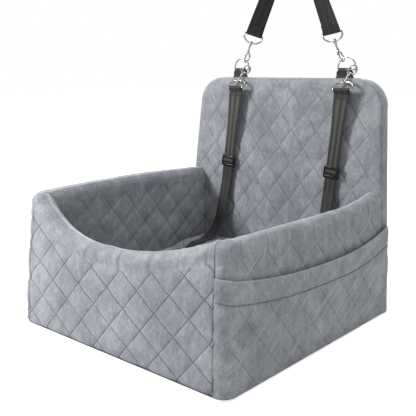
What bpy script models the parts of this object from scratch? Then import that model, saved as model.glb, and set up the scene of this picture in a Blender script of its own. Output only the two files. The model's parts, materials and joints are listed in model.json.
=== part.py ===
"""Dog car seat: a foam-walled box with a cushion, a backrest, two tethers and a headrest strap.

Units are metres and +Z is up. The origin lies on the ground under the middle of the box, +X is to
the right of someone who faces the seat, and +Y points from the entry to the backrest.
"""

import math

import bmesh
import bpy
import numpy as np
from mathutils import Matrix, Vector

# Fits shared by all pieces
CLEAR = 0.0003
OVERRUN = 0.004
SKIN = 0.0045
END_SKIN_SHARE = 1.3
MERGE_DISTANCE = 0.00003
SMOOTH_ANGLE = math.radians(40)

# Box
BODY_WIDTH = 0.536
DEPTH = 0.544
LEAN_HEIGHT = 0.250
SIDE_LEAN = 0.014
FRONT_LEAN = 0.019
SIDE_WALL = 0.052
FRONT_WALL = 0.054
CORNER_RADIUS = 0.025
RIM_RISE = 0.019
FOOT_EDGE = 0.0025
WALL_CROWN = 0.003
BODY_HALF = BODY_WIDTH / 2
FRONT_Y = -DEPTH / 2
REAR_Y = DEPTH / 2
CABIN_HALF = BODY_HALF - SIDE_WALL
CABIN_FRONT_Y = FRONT_Y + FRONT_WALL

# Rims: heights of the walls' rounded tops
LEFT_CREST = 0.264
LEFT_BOW = 0.006
RIGHT_CREST = 0.241
RIGHT_FRONT_RISE = 0.003
RIGHT_REAR_RISE = 0.015
RIGHT_LOW_SHARE = 0.73
ENTRY_CREST = 0.190
ENTRY_OFFSET = -0.025
ENTRY_LEFT_POWER = 3.0
ENTRY_RIGHT_POWER = 1.9

# Quilting
QUILT_WIDE = 0.067
QUILT_TALL = 0.064
QUILT_START_X = 0.0068
QUILT_START_Z = 0.009
QUILT_DEPTH = 0.0040
QUILT_FADE = 0.030
BACK_QUILT_WIDE = 0.062
BACK_QUILT_TALL = 0.077
BACK_QUILT_START_Z = 0.0235
PUFF_POWER = 0.5

# Rows of a pad's rounded edge, as shares of the edge
EDGE_STEP_SHARE = 0.3
EDGE_LAST_SHARE = 0.125

# Base
BASE_SHEET = 0.002
BASE_INSET = 0.004
BASE_BOARD = 0.030
BOARD_EDGE = 0.004
FLOOR = BASE_SHEET + CLEAR

# Backrest
BACK_THICK = 0.038
BACK_TOP = 0.481
BACK_CORNER = 0.058
BACK_TAPER = 0.019
BACK_EDGE = 0.016
BACK_EDGE_SHARE = 0.5
BACK_SQUEEZE_SHARE = 1.2
BACK_LEAN = math.radians(3)
BACK_BEND_Z = 0.250
BACK_FRONT_Y = REAR_Y - BACK_THICK
BACK_MID_Y = REAR_Y - BACK_THICK / 2
WALL_REAR_Y = BACK_FRONT_Y - CLEAR

# Cushion
CUSHION_GAP = 0.0012
CUSHION_SIDE = 0.058
CUSHION_CROWN = 0.010
CUSHION_DRAW = 0.004
CUSHION_EDGE = 0.016
CUSHION_EDGE_SHARE = 0.45
CUSHION_MOUTH = 0.300
CUSHION_MOUTH_HEIGHT = 0.006
CUSHION_FLOOR = BASE_BOARD + CLEAR

# Side pocket
POCKET_SHEET = 0.0035
POCKET_HEM_SHEET = 0.0048
POCKET_HEM = 0.037
POCKET_LOW = 0.163
POCKET_LOW_Y = 0.060
POCKET_FRONT_RISE = 0.0288
POCKET_REAR_RISE = 0.028
POCKET_FRONT_POWER = 2.4
POCKET_REAR_POWER = 2.0
POCKET_ROOM = 0.0085
POCKET_ROOM_POWER = 0.45
POCKET_FOOT = 0.002
HEM_FOOT_SHARE = 0.75
HEM_TOP_SHARE = 0.7

# Zip in the back of the backrest
ZIP_MARGIN = 0.058
ZIP_LENGTH = BODY_WIDTH - ZIP_MARGIN * 2
ZIP_Z = 0.070
ZIP_TAPE = 0.030
ZIP_TAPE_THICK = 0.0009
ZIP_CHAIN = 0.0056
ZIP_CHAIN_RISE = 0.0022
ZIP_MOUTH_HEIGHT = 0.004
ZIP_END = 0.012
ZIP_SLIDER_LENGTH = 0.013
ZIP_SLIDER_WALL = 0.0012
ZIP_SLIDER_CLEAR = 0.0004
ZIP_LUG_HALF = 0.0036
ZIP_LUG_RISE = 0.0042
ZIP_LUG_WIRE = 0.0009
ZIP_PULL_LENGTH = 0.032
ZIP_PULL_WIDTH = 0.0078
ZIP_PULL_WAIST = 0.0085
ZIP_PULL_WINDOW = 0.0062
ZIP_PULL_THICK = 0.0016
ZIP_PULL_END_SHARE = 0.8

# Webbing
WEB_WIDTH = 0.038
TETHER_WIDTH = 0.028
WEB_THICK = 0.0016
FOLD_LENGTH = 0.018
FOLD_GAP = 0.0004
TAB_TOP_WIDTH = 0.022
TAB_TAPER_SHARE = 0.5
TAB_RISE = 0.0225
TAB_CENTRE_X = 0.0055
TAB_SPACING = 0.276

# D-rings
RING_WIRE = 0.0017
RING_HALF = 0.0205
RING_RISE = 0.0250
RING_SHIFT = 0.0040
RING_CORNER = 0.0045

# Snap hooks, in their own frame: x across the claw, z along the swivel from the eye to the claw
EYE_WIRE = 0.0019
EYE_TOP_HALF = 0.0110
EYE_BAR_HALF = WEB_WIDTH / 2 + CLEAR * 2 + EYE_WIRE
EYE_DROP = 0.0215
EYE_SIDE = 0.0105
EYE_CORNER = 0.0024
EYE_SHOULDER = 0.0050
EYE_LEVEL = 0.0025
BOSS_RADIUS = 0.0042
BOSS_TOP = 0.0003
BOSS_HEIGHT = 0.0044
STEM_RADIUS = 0.0021
STEM_CLEAR = 0.0003
RIVET_RADIUS = 0.0034
RIVET_HEIGHT = 0.0018
COLLAR_RADIUS = 0.0038
COLLAR_HEIGHT = 0.0024
BARREL_RADIUS = 0.0024
BARREL_LOW = 0.0040
BARREL_TOP = 0.0150
BARREL_TIP_RADIUS = 0.0020
CLAW_WIRE = 0.0020
CLAW_TIP_WIRE = 0.0016
CLAW_X = 0.0055
CLAW_Z = 0.0335
CLAW_HALF_WIDTH = 0.0075
CLAW_HALF_HEIGHT = 0.0105
CLAW_ROOT_Z = 0.0125
CLAW_BEND_X = 0.0012
CLAW_BEND_Z = 0.0185
CLAW_START = math.radians(255)
CLAW_END = math.radians(505)
PIVOT_X = -0.0022
PIVOT_Z = 0.0206
PIN_RADIUS = 0.0006
PIN_CLEAR = 0.0003
GATE_HALF = 0.0013
EAR_THICK = 0.0010
EAR_RADIUS = 0.0021
GATE_ROOT = 0.0017
GATE_ROOT_SHARE = 0.9
GATE_GAP = 0.0014
GATE_TOP_Z = CLAW_Z + CLAW_HALF_HEIGHT * math.sin(CLAW_END) - GATE_GAP
GATE_TOP_RIGHT_X = 0.0001
GATE_TOP_LEFT_X = -0.0025
TAB_KNOB_X = -0.0090
TAB_KNOB_LOW_Z = 0.0242
TAB_KNOB_TOP_Z = 0.0294
TAB_KNOB_ROUND = 0.0014
TAB_NECK_LOW_Z = 0.0236
TAB_NECK_TOP_Z = 0.0302
TAB_NECK_X = -0.0036
GATE_ROUND = 0.0007

# Tethers and their sliding buckles
TETHER_TOP_LEAN = math.radians(38.5)
TETHER_TOP_TURN = math.radians(35)
TETHER_RING_X = 0.0183
TETHER_RING_Z = 0.0023
TETHER_GRIP_X = 0.0075
TETHER_GRIP_Z = 0.0372
TETHER_STRAIGHT = 0.215
BUCKLE_DROP = 0.173
BUCKLE_LENGTH = 0.025
BUCKLE_RAIL = 0.0034
BUCKLE_BAR = 0.0026
BUCKLE_BAR_LENGTH = 0.0062
BUCKLE_MID_LENGTH = 0.0056
BUCKLE_EDGE = 0.0008
BUCKLE_OUTER_SHARE = 0.9
LOWER_HOOK_LIFT = BOSS_RADIUS + CLEAR * 2

# Free run of each tether below its straight stretch: points on the way to the cushion, then places
# on the cushion, the last one where the lower hook's eye lies. A place is given by its distance
# across the seat, how far it lies in front of the backrest, and for the run its height
LEFT_RUN = ((-0.1455, 0.0110, 0.2010), (-0.1505, 0.0180, 0.1540), (-0.1515, 0.0400, 0.1220))
LEFT_REST = ((-0.1505, 0.0760), (-0.1425, 0.1265))
LEFT_EYE = (-0.1365, 0.1660)
RIGHT_RUN = ((0.1345, 0.0110, 0.2010), (0.1345, 0.0190, 0.1540), (0.1335, 0.0400, 0.1220))
RIGHT_REST = ((0.1300, 0.0760), (0.1220, 0.1270))
RIGHT_EYE = (0.1160, 0.1670)

# Headrest strap
STRAP_APEX = (-0.004, 0.2856, 0.8070)
STRAP_BEND = 0.018
STRAP_TWIST = math.radians(43)
STRAP_RING_X = 0.0120
STRAP_GRIP_X = 0.0045
STRAP_GRIP_Z = 0.0395

# Facet counts
TUBE_SIDES = 8
LATHE_SIDES = 10
RIM_STEPS = 6
CORNER_STEPS = 3
FIXED_ROWS = 4
UPPER_ROWS = 2
CLAW_STEPS = 10
ARC_STEPS = 3
RING_STEPS = 9
STRAP_STEPS = 12
RUN_STEPS = 4
BEND_STEPS = 4


def clear_scene():
    """Remove every object that the file opened with."""
    for obj in list(bpy.data.objects):
        bpy.data.objects.remove(obj, do_unlink=True)


def make_material(name, color, roughness, metallic=0.0):
    """Principled material with one colour."""
    mat = bpy.data.materials.new(name)
    mat.use_nodes = True
    shader = mat.node_tree.nodes["Principled BSDF"]
    shader.inputs["Base Color"].default_value = (*color, 1.0)
    shader.inputs["Roughness"].default_value = roughness
    shader.inputs["Metallic"].default_value = metallic
    return mat


def make_object(name, mesh, mat=None, matrix=None, smooth=True):
    """Link an object for a mesh, shaded smooth but for its sharp edges."""
    if smooth:
        mesh.shade_smooth()
        mesh.set_sharp_from_angle(angle=SMOOTH_ANGLE)
    obj = bpy.data.objects.new(name, mesh)
    bpy.context.scene.collection.objects.link(obj)
    if mat is not None:
        mesh.materials.clear()
        mesh.materials.append(mat)
    if matrix is not None:
        obj.matrix_world = matrix
    return obj


def bm_to_mesh(bm, name):
    """Finish a bmesh: outward faces, triangulated caps, a named mesh."""
    bmesh.ops.recalc_face_normals(bm, faces=bm.faces)
    big = [face for face in bm.faces if len(face.verts) > 4]
    bmesh.ops.triangulate(bm, faces=big)
    mesh = bpy.data.meshes.new(name)
    bm.to_mesh(mesh)
    bm.free()
    return mesh


def ring_mesh(name, rings, relief=None, closed=False):
    """Closed body through rings of equal counts, capped at both ends unless the path is closed.

    A four-cornered face is split along the diagonal that lies lower in relief, so that quilting
    seams run straight.
    """
    bm = bmesh.new()
    verts = [[bm.verts.new(point) for point in ring] for ring in rings]
    count = len(rings[0])
    spans = len(rings) if closed else len(rings) - 1
    for i in range(spans):
        near, far = verts[i], verts[(i + 1) % len(rings)]
        for j in range(count):
            k = (j + 1) % count
            if relief is None:
                bm.faces.new((near[j], far[j], far[k], near[k]))
                continue
            rising = relief[i][j] + relief[i + 1][k]
            falling = relief[i + 1][j] + relief[i][k]
            if rising < falling:
                bm.faces.new((near[j], far[j], far[k]))
                bm.faces.new((near[j], far[k], near[k]))
            else:
                bm.faces.new((near[j], far[j], near[k]))
                bm.faces.new((far[j], far[k], near[k]))
    if not closed:
        bm.faces.new(verts[0])
        bm.faces.new(verts[-1])
    return bm_to_mesh(bm, name)


def rounded_outline(corners, radii, steps=ARC_STEPS):
    """Closed outline through corners in a plane, each rounded by an arc of its own radius."""
    points = []
    count = len(corners)
    for i, corner in enumerate(corners):
        here = Vector(corner)
        back = (Vector(corners[i - 1]) - here).normalized()
        ahead = (Vector(corners[(i + 1) % count]) - here).normalized()
        half = back.angle(ahead) / 2
        reach = radii[i] / math.tan(half)
        middle = here + (back + ahead).normalized() * (radii[i] / math.sin(half))
        first = here + back * reach - middle
        last = here + ahead * reach - middle
        for step in range(steps + 1):
            points.append(middle + first.slerp(last, step / steps) * radii[i])
    return points


def plate_mesh(name, outline, low, high, lift):
    """Flat plate: an outline in a plane, extruded between two levels; lift places a 2-D point."""
    rings = [[lift(point, level) for point in outline] for level in (low, high)]
    return ring_mesh(name, rings)


def tube_rings(points, radii, normal, sides=TUBE_SIDES, closed=False):
    """Rings of a round wire along a path that lies in one plane with the given normal."""
    path = [Vector(point) for point in points]
    across = Vector(normal).normalized()
    rings = []
    for i, point in enumerate(path):
        before = path[i - 1] if closed or i else point
        after = path[(i + 1) % len(path)] if closed or i + 1 < len(path) else point
        out = (after - before).normalized().cross(across)
        turn = [2 * math.pi * k / sides for k in range(sides)]
        rings.append([point + (out * math.cos(a) + across * math.sin(a)) * radii[i] for a in turn])
    return rings


def tube_mesh(name, points, radii, normal, sides=TUBE_SIDES, closed=False):
    """Round wire along a plane path, open with caps or closed on itself."""
    return ring_mesh(name, tube_rings(points, radii, normal, sides, closed), closed=closed)


def lathe_mesh(name, profile, sides=LATHE_SIDES):
    """Turned body round the z axis from a profile of (radius, height), poles at both ends."""
    bm = bmesh.new()
    verts = [bm.verts.new((radius, 0, height)) for radius, height in profile]
    edges = [bm.edges.new(pair) for pair in zip(verts, verts[1:])]
    bmesh.ops.spin(bm, geom=verts + edges, cent=(0, 0, 0), axis=(0, 0, 1),
                   angle=2 * math.pi, steps=sides, use_merge=True)
    bmesh.ops.remove_doubles(bm, verts=bm.verts, dist=MERGE_DISTANCE)
    return bm_to_mesh(bm, name)


def box_mesh(name, low, high):
    """Axis-aligned box between two corners."""
    bm = bmesh.new()
    bmesh.ops.create_cube(bm, size=1)
    middle = (Vector(low) + Vector(high)) / 2
    size = Vector(high) - Vector(low)
    for vert in bm.verts:
        vert.co = Vector(vert.co[i] * size[i] for i in range(3)) + middle
    return bm_to_mesh(bm, name)


def cutter(name, mesh, matrix=None):
    """Helper body for a Boolean, hidden from the model."""
    obj = make_object(name, mesh, matrix=matrix, smooth=False)
    obj.hide_render = True
    obj.display_type = "WIRE"
    return obj


def cut(obj, other, operation="DIFFERENCE"):
    """Exact Boolean of one object with a helper."""
    step = obj.modifiers.new(other.name, "BOOLEAN")
    step.operation = operation
    step.solver = "EXACT"
    step.object = other


def baked(obj, name):
    """New mesh with an object's modifiers applied; the object becomes a hidden helper."""
    bpy.context.view_layer.update()
    mesh = bpy.data.meshes.new_from_object(obj.evaluated_get(bpy.context.evaluated_depsgraph_get()))
    mesh.name = name
    obj.hide_render = True
    obj.display_type = "WIRE"
    return mesh


def puff(across, along, wide, tall):
    """Height of a quilted diamond, 0 on its seams and 1 at its middle."""
    rising = across / wide + along / tall
    falling = across / wide - along / tall
    return abs(math.sin(math.pi * rising) * math.sin(math.pi * falling)) ** PUFF_POWER


def ramp(value, low, high):
    """0 below low, 1 above high, straight between them."""
    return min(max((value - low) / (high - low), 0), 1)


def lattice(low, high, start, step):
    """Both ends, and every place between them that is a whole number of steps from start."""
    first = math.ceil((low - start) / step + 1 / 3)
    last = math.floor((high - start) / step - 1 / 3)
    return [low] + [start + k * step for k in range(first, last + 1)] + [high]


def lean_in(x, y, z):
    """Move a point of the outer surface inwards with its height, up to the backrest's face."""
    share = z / LEAN_HEIGHT
    side = x * (1 - SIDE_LEAN * min(share, 1) / BODY_HALF)
    along = max(WALL_REAR_Y - y, 0) / (WALL_REAR_Y - FRONT_Y)
    return side, y + FRONT_LEAN * share * along


def side_length():
    """Length of a side wall's outer path in plan, from the front seam to its rear end."""
    return CORNER_RADIUS * math.pi / 2 + WALL_REAR_Y - (FRONT_Y + CORNER_RADIUS)


def side_outer(length):
    """Plan point of the right side's outer path, round the front corner and then straight back."""
    arc = CORNER_RADIUS * math.pi / 2
    if length < arc:
        turn = length / CORNER_RADIUS
        return (BODY_HALF - CORNER_RADIUS + CORNER_RADIUS * math.sin(turn),
                FRONT_Y + CORNER_RADIUS - CORNER_RADIUS * math.cos(turn))
    return BODY_HALF, FRONT_Y + CORNER_RADIUS + length - arc


def side_inner(length):
    """Plan point of the right side's inner face that belongs to a place on its outer path."""
    share = length / side_length()
    return CABIN_HALF, CABIN_FRONT_Y + (WALL_REAR_Y - CABIN_FRONT_Y) * share


def left_crest(share):
    """Height of the left wall's rim."""
    return LEFT_CREST + LEFT_BOW * (1 - (2 * share - 1) ** 2)


def right_crest(share):
    """Height of the right wall's rim, low towards the rear and rising to both ends."""
    if share < RIGHT_LOW_SHARE:
        return RIGHT_CREST + RIGHT_FRONT_RISE * (1 - share / RIGHT_LOW_SHARE) ** 2
    return RIGHT_CREST + RIGHT_REAR_RISE * ((share - RIGHT_LOW_SHARE) / (1 - RIGHT_LOW_SHARE)) ** 2


def entry_crest(x):
    """Height of the front wall's rim: a scoop for the dog to step over."""
    seam = BODY_HALF - CORNER_RADIUS
    if x < ENTRY_OFFSET:
        share, end, power = (ENTRY_OFFSET - x) / (seam + ENTRY_OFFSET), left_crest(0), ENTRY_LEFT_POWER
    else:
        share, end, power = (x - ENTRY_OFFSET) / (seam - ENTRY_OFFSET), right_crest(0), ENTRY_RIGHT_POWER
    return ENTRY_CREST + (end - ENTRY_CREST) * share ** power


def crown(z, crest):
    """Outward swell of a stuffed wall, none at its foot and rim."""
    return WALL_CROWN * math.sin(math.pi * ramp(z, FLOOR, crest))


def wall_ring(outer, inner, crest, across, inset=0, floor=FLOOR, quilted=True):
    """One section of a stuffed wall, from its outer foot over the rim to its inner foot.

    outer and inner are plan points, across is the place along the wall for the quilting, and
    inset moves every face inwards, which gives the space for the foam and then the foam itself.
    """
    top = crest - RIM_RISE
    fixed = [QUILT_START_Z + QUILT_TALL / 2 * k for k in range(1, FIXED_ROWS + 1)]
    upper = [fixed[-1] + (top - fixed[-1]) * k / UPPER_ROWS for k in range(1, UPPER_ROWS + 1)]
    plan_out = Vector(outer)
    plan_in = Vector(inner)

    def face_point(z, side, dent):
        x, y = lean_in(plan_out.x, plan_out.y, z)
        base = Vector((x, y))
        span = (plan_in - base).length
        way = (plan_in - base).normalized()
        if side == "outer":
            return base + way * (inset + dent - crown(z, crest))
        return base + way * (span - inset - dent)

    def dent_at(z):
        if not quilted:
            return 0
        fade = ramp(top - z, 0, QUILT_FADE)
        return QUILT_DEPTH * fade * (1 - puff(across, z - QUILT_START_Z, QUILT_WIDE, QUILT_TALL))

    points, relief = [], []
    if quilted:
        foot = face_point(floor, "outer", FOOT_EDGE)
        points.append((*foot, floor))
        relief.append(0)
        levels = [floor + FOOT_EDGE] + fixed + upper
    else:
        levels = [floor] + [fixed[-1], upper[-1]]
    for z in levels:
        dent = dent_at(z)
        points.append((*face_point(z, "outer", dent), z))
        relief.append(-dent)
    high_out = face_point(top, "outer", 0)
    high_in = face_point(top, "inner", 0)
    middle = (high_out + high_in) / 2
    for step in range(1, RIM_STEPS):
        turn = math.pi * step / RIM_STEPS
        spot = middle + (high_out - middle) * math.cos(turn)
        points.append((*spot, top + (RIM_RISE - inset) * math.sin(turn)))
        relief.append(0)
    inner_levels = [top, upper[0], fixed[-1], fixed[-2], floor] if quilted else [top, fixed[-1], floor]
    for z in inner_levels:
        dent = dent_at(z) if z < top else 0
        points.append((*face_point(z, "inner", dent), z))
        relief.append(-dent)
    return points, relief


def wall_mesh(name, stations, outer, inner, crest, place, inset=0, floor=FLOOR, quilted=True):
    """Stuffed wall through sections at the given places along it."""
    rings, relief = [], []
    for station in stations:
        ring, depth = wall_ring(outer(station), inner(station), crest(station), place(station),
                                inset, floor, quilted)
        rings.append(ring)
        relief.append(depth)
    return ring_mesh(name, rings, relief)


def covered_wall(side, stations, outer, inner, crest, place, velvet, foam):
    """A wall's quilted cover, open at its foot, and the foam board inside it."""
    cover = make_object("cover_" + side, wall_mesh("cover_" + side, stations, outer, inner, crest,
                                                   place), velvet)

    def drawn_in(amount):
        # The ends move in with the faces; a station is a length along the wall
        first, last = stations[0] + amount, stations[-1] - amount
        inside = [s for s in stations if first + amount < s < last - amount]
        return [first] + inside + [last]

    end_skin = SKIN * END_SKIN_SHARE
    space = wall_mesh("space_" + side, drawn_in(end_skin), outer, inner, crest, place, SKIN,
                      FLOOR - OVERRUN, False)
    cut(cover, cutter("space_" + side, space))
    core = wall_mesh("foam_" + side, drawn_in(end_skin + CLEAR), outer, inner, crest, place,
                     SKIN + CLEAR, FLOOR, False)
    make_object("foam_" + side, core, foam)


def make_walls(velvet, foam):
    """Front, left and right walls, mitred at the two front seams."""
    seam = BODY_HALF - CORNER_RADIUS
    half_gap = CLEAR / 2 / math.sin(math.atan2(FRONT_WALL, seam - CABIN_HALF))

    def front_outer(x):
        return x, FRONT_Y

    def front_inner(x):
        return x * CABIN_HALF / seam, CABIN_FRONT_Y

    ends = seam - half_gap
    stations = lattice(-ends, ends, QUILT_START_X, QUILT_WIDE / 2)
    covered_wall("front", stations, front_outer, front_inner, entry_crest,
                 lambda x: x - QUILT_START_X, velvet, foam)

    arc = CORNER_RADIUS * math.pi / 2
    bend = [half_gap] + [arc * k / CORNER_STEPS for k in range(1, CORNER_STEPS)]
    stations = bend + lattice(arc, side_length(), arc, QUILT_WIDE / 2)
    for name, sign, crest in (("right", 1, right_crest), ("left", -1, left_crest)):
        covered_wall(name, stations,
                     lambda s, sign=sign: (sign * side_outer(s)[0], side_outer(s)[1]),
                     lambda s, sign=sign: (sign * side_inner(s)[0], side_inner(s)[1]),
                     lambda s, crest=crest: crest(s / side_length()),
                     lambda s: s - arc, velvet, foam)


def back_half(z, inset=0):
    """Half width of the backrest's outline at a height."""
    above = ramp(z, LEAN_HEIGHT, BACK_TOP)
    half = BODY_HALF - SIDE_LEAN * min(z / LEAN_HEIGHT, 1) - BACK_TAPER * above
    over = min(max(z + inset - (BACK_TOP - BACK_CORNER), 0), BACK_CORNER)
    return half - inset - (BACK_CORNER - math.sqrt(BACK_CORNER ** 2 - over ** 2))


def back_offset(z):
    """How far the backrest's middle lies behind its foot at a height."""
    return math.tan(BACK_LEAN) * max(z - BACK_BEND_Z, 0)


def back_top_y():
    """Middle of the backrest's thickness at its top edge."""
    return BACK_MID_Y + back_offset(BACK_TOP)


def edge_swell(margin, edge, share):
    """Share of the full half thickness at a distance from a pad's edge."""
    if margin >= edge:
        return 1
    return share + (1 - share) * math.sqrt(1 - (1 - max(margin, 0) / edge) ** 2)


def back_mesh(name, inset=0, quilted=True):
    """Backrest pad: quilted front, plain back, rounded edges and top corners."""
    top = BACK_TOP - inset
    half_thick = BACK_THICK / 2 - inset
    turns = [math.pi / 2 * k / 5 for k in range(5)]
    corner_rows = [top - BACK_CORNER + BACK_CORNER * math.sin(turn) for turn in turns]
    floor = FLOOR + inset if quilted is False else FLOOR
    step = BACK_QUILT_TALL / 2
    rows = lattice(floor, corner_rows[0], BACK_QUILT_START_Z, step)
    rows += corner_rows[1:] + [top - (BACK_EDGE - inset) * EDGE_LAST_SHARE, top]
    reach = BODY_HALF - SIDE_LEAN - BACK_TAPER - BACK_EDGE
    places = [BACK_QUILT_WIDE / 2 * k for k in range(-7, 8) if abs(k) * BACK_QUILT_WIDE / 2 < reach]
    back_places = [place for place in places if round(place / BACK_QUILT_WIDE * 2) % 3 == 0]
    if not quilted:
        places = back_places
        rows = [rows[0]] + rows[3:-6:3] + rows[-6:]
    rings, relief = [], []
    for z in rows:
        half = back_half(z, inset)
        squeeze = min(1, (half - BACK_EDGE * BACK_SQUEEZE_SHARE) / places[-1])
        edges = (half - BACK_EDGE, half - BACK_EDGE * EDGE_STEP_SHARE, half)
        wide = [-edge for edge in reversed(edges)] + [p * squeeze for p in places] + list(edges)
        plain = [-edge for edge in reversed(edges)] + [p * squeeze for p in back_places] + list(edges)
        middle = BACK_MID_Y + back_offset(z)
        ring, depth = [], []
        for x in wide:
            margin = min(half - abs(x), top - z)
            swell = edge_swell(margin, BACK_EDGE, BACK_EDGE_SHARE)
            dent = 0
            if quilted:
                pattern = puff(x, z - BACK_QUILT_START_Z, BACK_QUILT_WIDE, BACK_QUILT_TALL)
                dent = QUILT_DEPTH * ramp(margin, 0, QUILT_FADE) * (1 - pattern)
            ring.append((x, middle - half_thick * swell + dent, z))
            depth.append(-dent)
        for x in reversed(plain):
            margin = min(half - abs(x), top - z)
            swell = edge_swell(margin, BACK_EDGE, BACK_EDGE_SHARE)
            ring.append((x, middle + half_thick * swell, z))
            depth.append(0)
        rings.append(ring)
        relief.append(depth)
    return ring_mesh(name, rings, relief)


def make_backrest(velvet, foam):
    """Backrest cover with its zip mouth, and the foam board inside."""
    cover = make_object("cover_backrest", back_mesh("cover_backrest"), velvet)
    cut(cover, cutter("space_backrest", back_mesh("space_backrest", SKIN, False)))
    half = ZIP_LENGTH / 2 - ZIP_END
    low = (-half, REAR_Y - SKIN - OVERRUN, ZIP_Z - ZIP_MOUTH_HEIGHT / 2)
    high = (half, REAR_Y + OVERRUN, ZIP_Z + ZIP_MOUTH_HEIGHT / 2)
    cut(cover, cutter("mouth_backrest", box_mesh("mouth_backrest", low, high)))
    make_object("foam_backrest", back_mesh("foam_backrest", SKIN + CLEAR, False), foam)


def cushion_edges():
    """Half width and the front and rear limits of the cushion."""
    return CABIN_HALF - CUSHION_GAP, CABIN_FRONT_Y + CUSHION_GAP, BACK_FRONT_Y - CUSHION_GAP


def cushion_top(x, y):
    """Height of the cushion's crowned top, without its quilting."""
    half, front, rear = cushion_edges()
    middle = (front + rear) / 2
    across = math.cos(math.pi / 2 * min(abs(x) / half, 1))
    along = math.cos(math.pi / 2 * min(abs(y - middle) / (rear - middle), 1))
    return CUSHION_FLOOR + CUSHION_SIDE + CUSHION_CROWN * math.sqrt(across * along)


def on_cushion(place, lift):
    """Point above a plan place on the cushion's top."""
    return Vector((place.x, place.y, cushion_top(place.x, place.y) + lift))


def cushion_across(place, ahead):
    """Direction across something that lies on the cushion and points ahead in plan, +X side."""
    side = Vector((-ahead.y, ahead.x))
    side = side if side.x > 0 else -side
    reach = WEB_WIDTH / 2
    return (on_cushion(place + side * reach, 0) - on_cushion(place - side * reach, 0)).normalized()


def cushion_mesh(name, inset=0, quilted=True):
    """Seat cushion: crowned and quilted top, flat underside, sides drawn in between corners."""
    half, front, rear = cushion_edges()
    middle = (front + rear) / 2
    low = CUSHION_FLOOR + inset
    step = QUILT_TALL / 2
    depth_edges = (inset, CUSHION_EDGE * EDGE_STEP_SHARE + inset, CUSHION_EDGE + inset)
    rows = [front + edge for edge in depth_edges]
    rows += lattice(rows[-1], rear - CUSHION_EDGE - inset, middle, step)[1:-1]
    rows += [rear - edge for edge in reversed(depth_edges)]
    if not quilted:
        rows = rows[:3] + rows[6:-6:4] + rows[-3:]
    columns = lattice(-half + CUSHION_EDGE, half - CUSHION_EDGE, 0, QUILT_WIDE / 2)[1:-1]
    if not quilted:
        columns = columns[1:-1:3]
    under = columns[1:-1:4]
    rings, relief = [], []
    for y in rows:
        drawn = CUSHION_DRAW * math.cos(math.pi / 2 * (y - middle) / (rear - middle))
        side = half - drawn - inset
        edges = (side - CUSHION_EDGE, side - CUSHION_EDGE * EDGE_STEP_SHARE, side)
        wide = [-edge for edge in reversed(edges)] + columns + list(edges)
        flat = [-edge for edge in reversed(edges)] + under + list(edges)
        ring, depth = [], []
        for x in wide:
            draw_y = CUSHION_DRAW * math.cos(math.pi / 2 * x / half) * ((y - middle) / (rear - middle)) ** 4
            spot_y = y - math.copysign(draw_y, y - middle)
            margin = min(side - abs(x), y - front - inset, rear - inset - y)
            swell = edge_swell(margin, CUSHION_EDGE, CUSHION_EDGE_SHARE)
            dent = 0
            if quilted:
                pattern = puff(x, y - middle, QUILT_WIDE, QUILT_TALL)
                dent = QUILT_DEPTH * ramp(margin, 0, QUILT_FADE) * (1 - pattern)
            height = cushion_top(x, y) - CUSHION_FLOOR - inset
            drop = (1 - swell) * CUSHION_EDGE
            ring.append((x, spot_y, CUSHION_FLOOR + height - drop - dent))
            depth.append(-dent)
        for x in reversed(flat):
            draw_y = CUSHION_DRAW * math.cos(math.pi / 2 * x / half) * ((y - middle) / (rear - middle)) ** 4
            spot_y = y - math.copysign(draw_y, y - middle)
            ring.append((x, spot_y, low))
            depth.append(0)
        rings.append(ring)
        relief.append(depth)
    return ring_mesh(name, rings, relief)


def make_cushion(velvet, foam):
    """Loose cushion: cover with a mouth in its rear side, and its foam."""
    cover = make_object("cushion_cover", cushion_mesh("cushion_cover"), velvet)
    cut(cover, cutter("space_cushion", cushion_mesh("space_cushion", SKIN, False)))
    rear = cushion_edges()[2]
    level = CUSHION_FLOOR + CUSHION_SIDE / 2
    low = (-CUSHION_MOUTH / 2, rear - CUSHION_DRAW - SKIN - OVERRUN, level - CUSHION_MOUTH_HEIGHT / 2)
    high = (CUSHION_MOUTH / 2, rear + OVERRUN, level + CUSHION_MOUTH_HEIGHT / 2)
    cut(cover, cutter("mouth_cushion", box_mesh("mouth_cushion", low, high)))
    make_object("cushion_foam", cushion_mesh("cushion_foam", SKIN + CLEAR, False), foam)


def make_base(canvas, board):
    """Non-slip base cloth over the whole footprint, and the padded board between the walls."""
    half = BODY_HALF - BASE_INSET
    front = FRONT_Y + BASE_INSET
    rear = REAR_Y - BASE_INSET
    corners = ((-half, front), (half, front), (half, rear), (-half, rear))
    round_front = CORNER_RADIUS - BASE_INSET
    radii = (round_front, round_front, BACK_EDGE, BACK_EDGE)
    outline = rounded_outline(corners, radii)
    sheet = plate_mesh("base_cloth", outline, 0, BASE_SHEET, lambda p, level: (p.x, p.y, level))
    make_object("base_cloth", sheet, canvas)
    low = (-CABIN_HALF + CLEAR, CABIN_FRONT_Y + CLEAR, FLOOR)
    high = (CABIN_HALF - CLEAR, WALL_REAR_Y, BASE_BOARD)
    base = make_object("base_board", box_mesh("base_board", low, high), board)
    bevel = base.modifiers.new("edges", "BEVEL")
    bevel.width = BOARD_EDGE
    bevel.segments = 1


def side_surface(length, z):
    """Point and outward plan direction of the right side's outer surface, on past the wall's end."""
    outer = Vector(side_outer(length))
    share = min(length / side_length(), 1)
    inner = Vector(side_inner(min(length, side_length())))
    if share == 1:
        inner.y = outer.y
    x, y = lean_in(outer.x, outer.y, z)
    base = Vector((x, y))
    way = (base - inner).normalized()
    return base + way * crown(z, right_crest(share)), way


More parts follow.
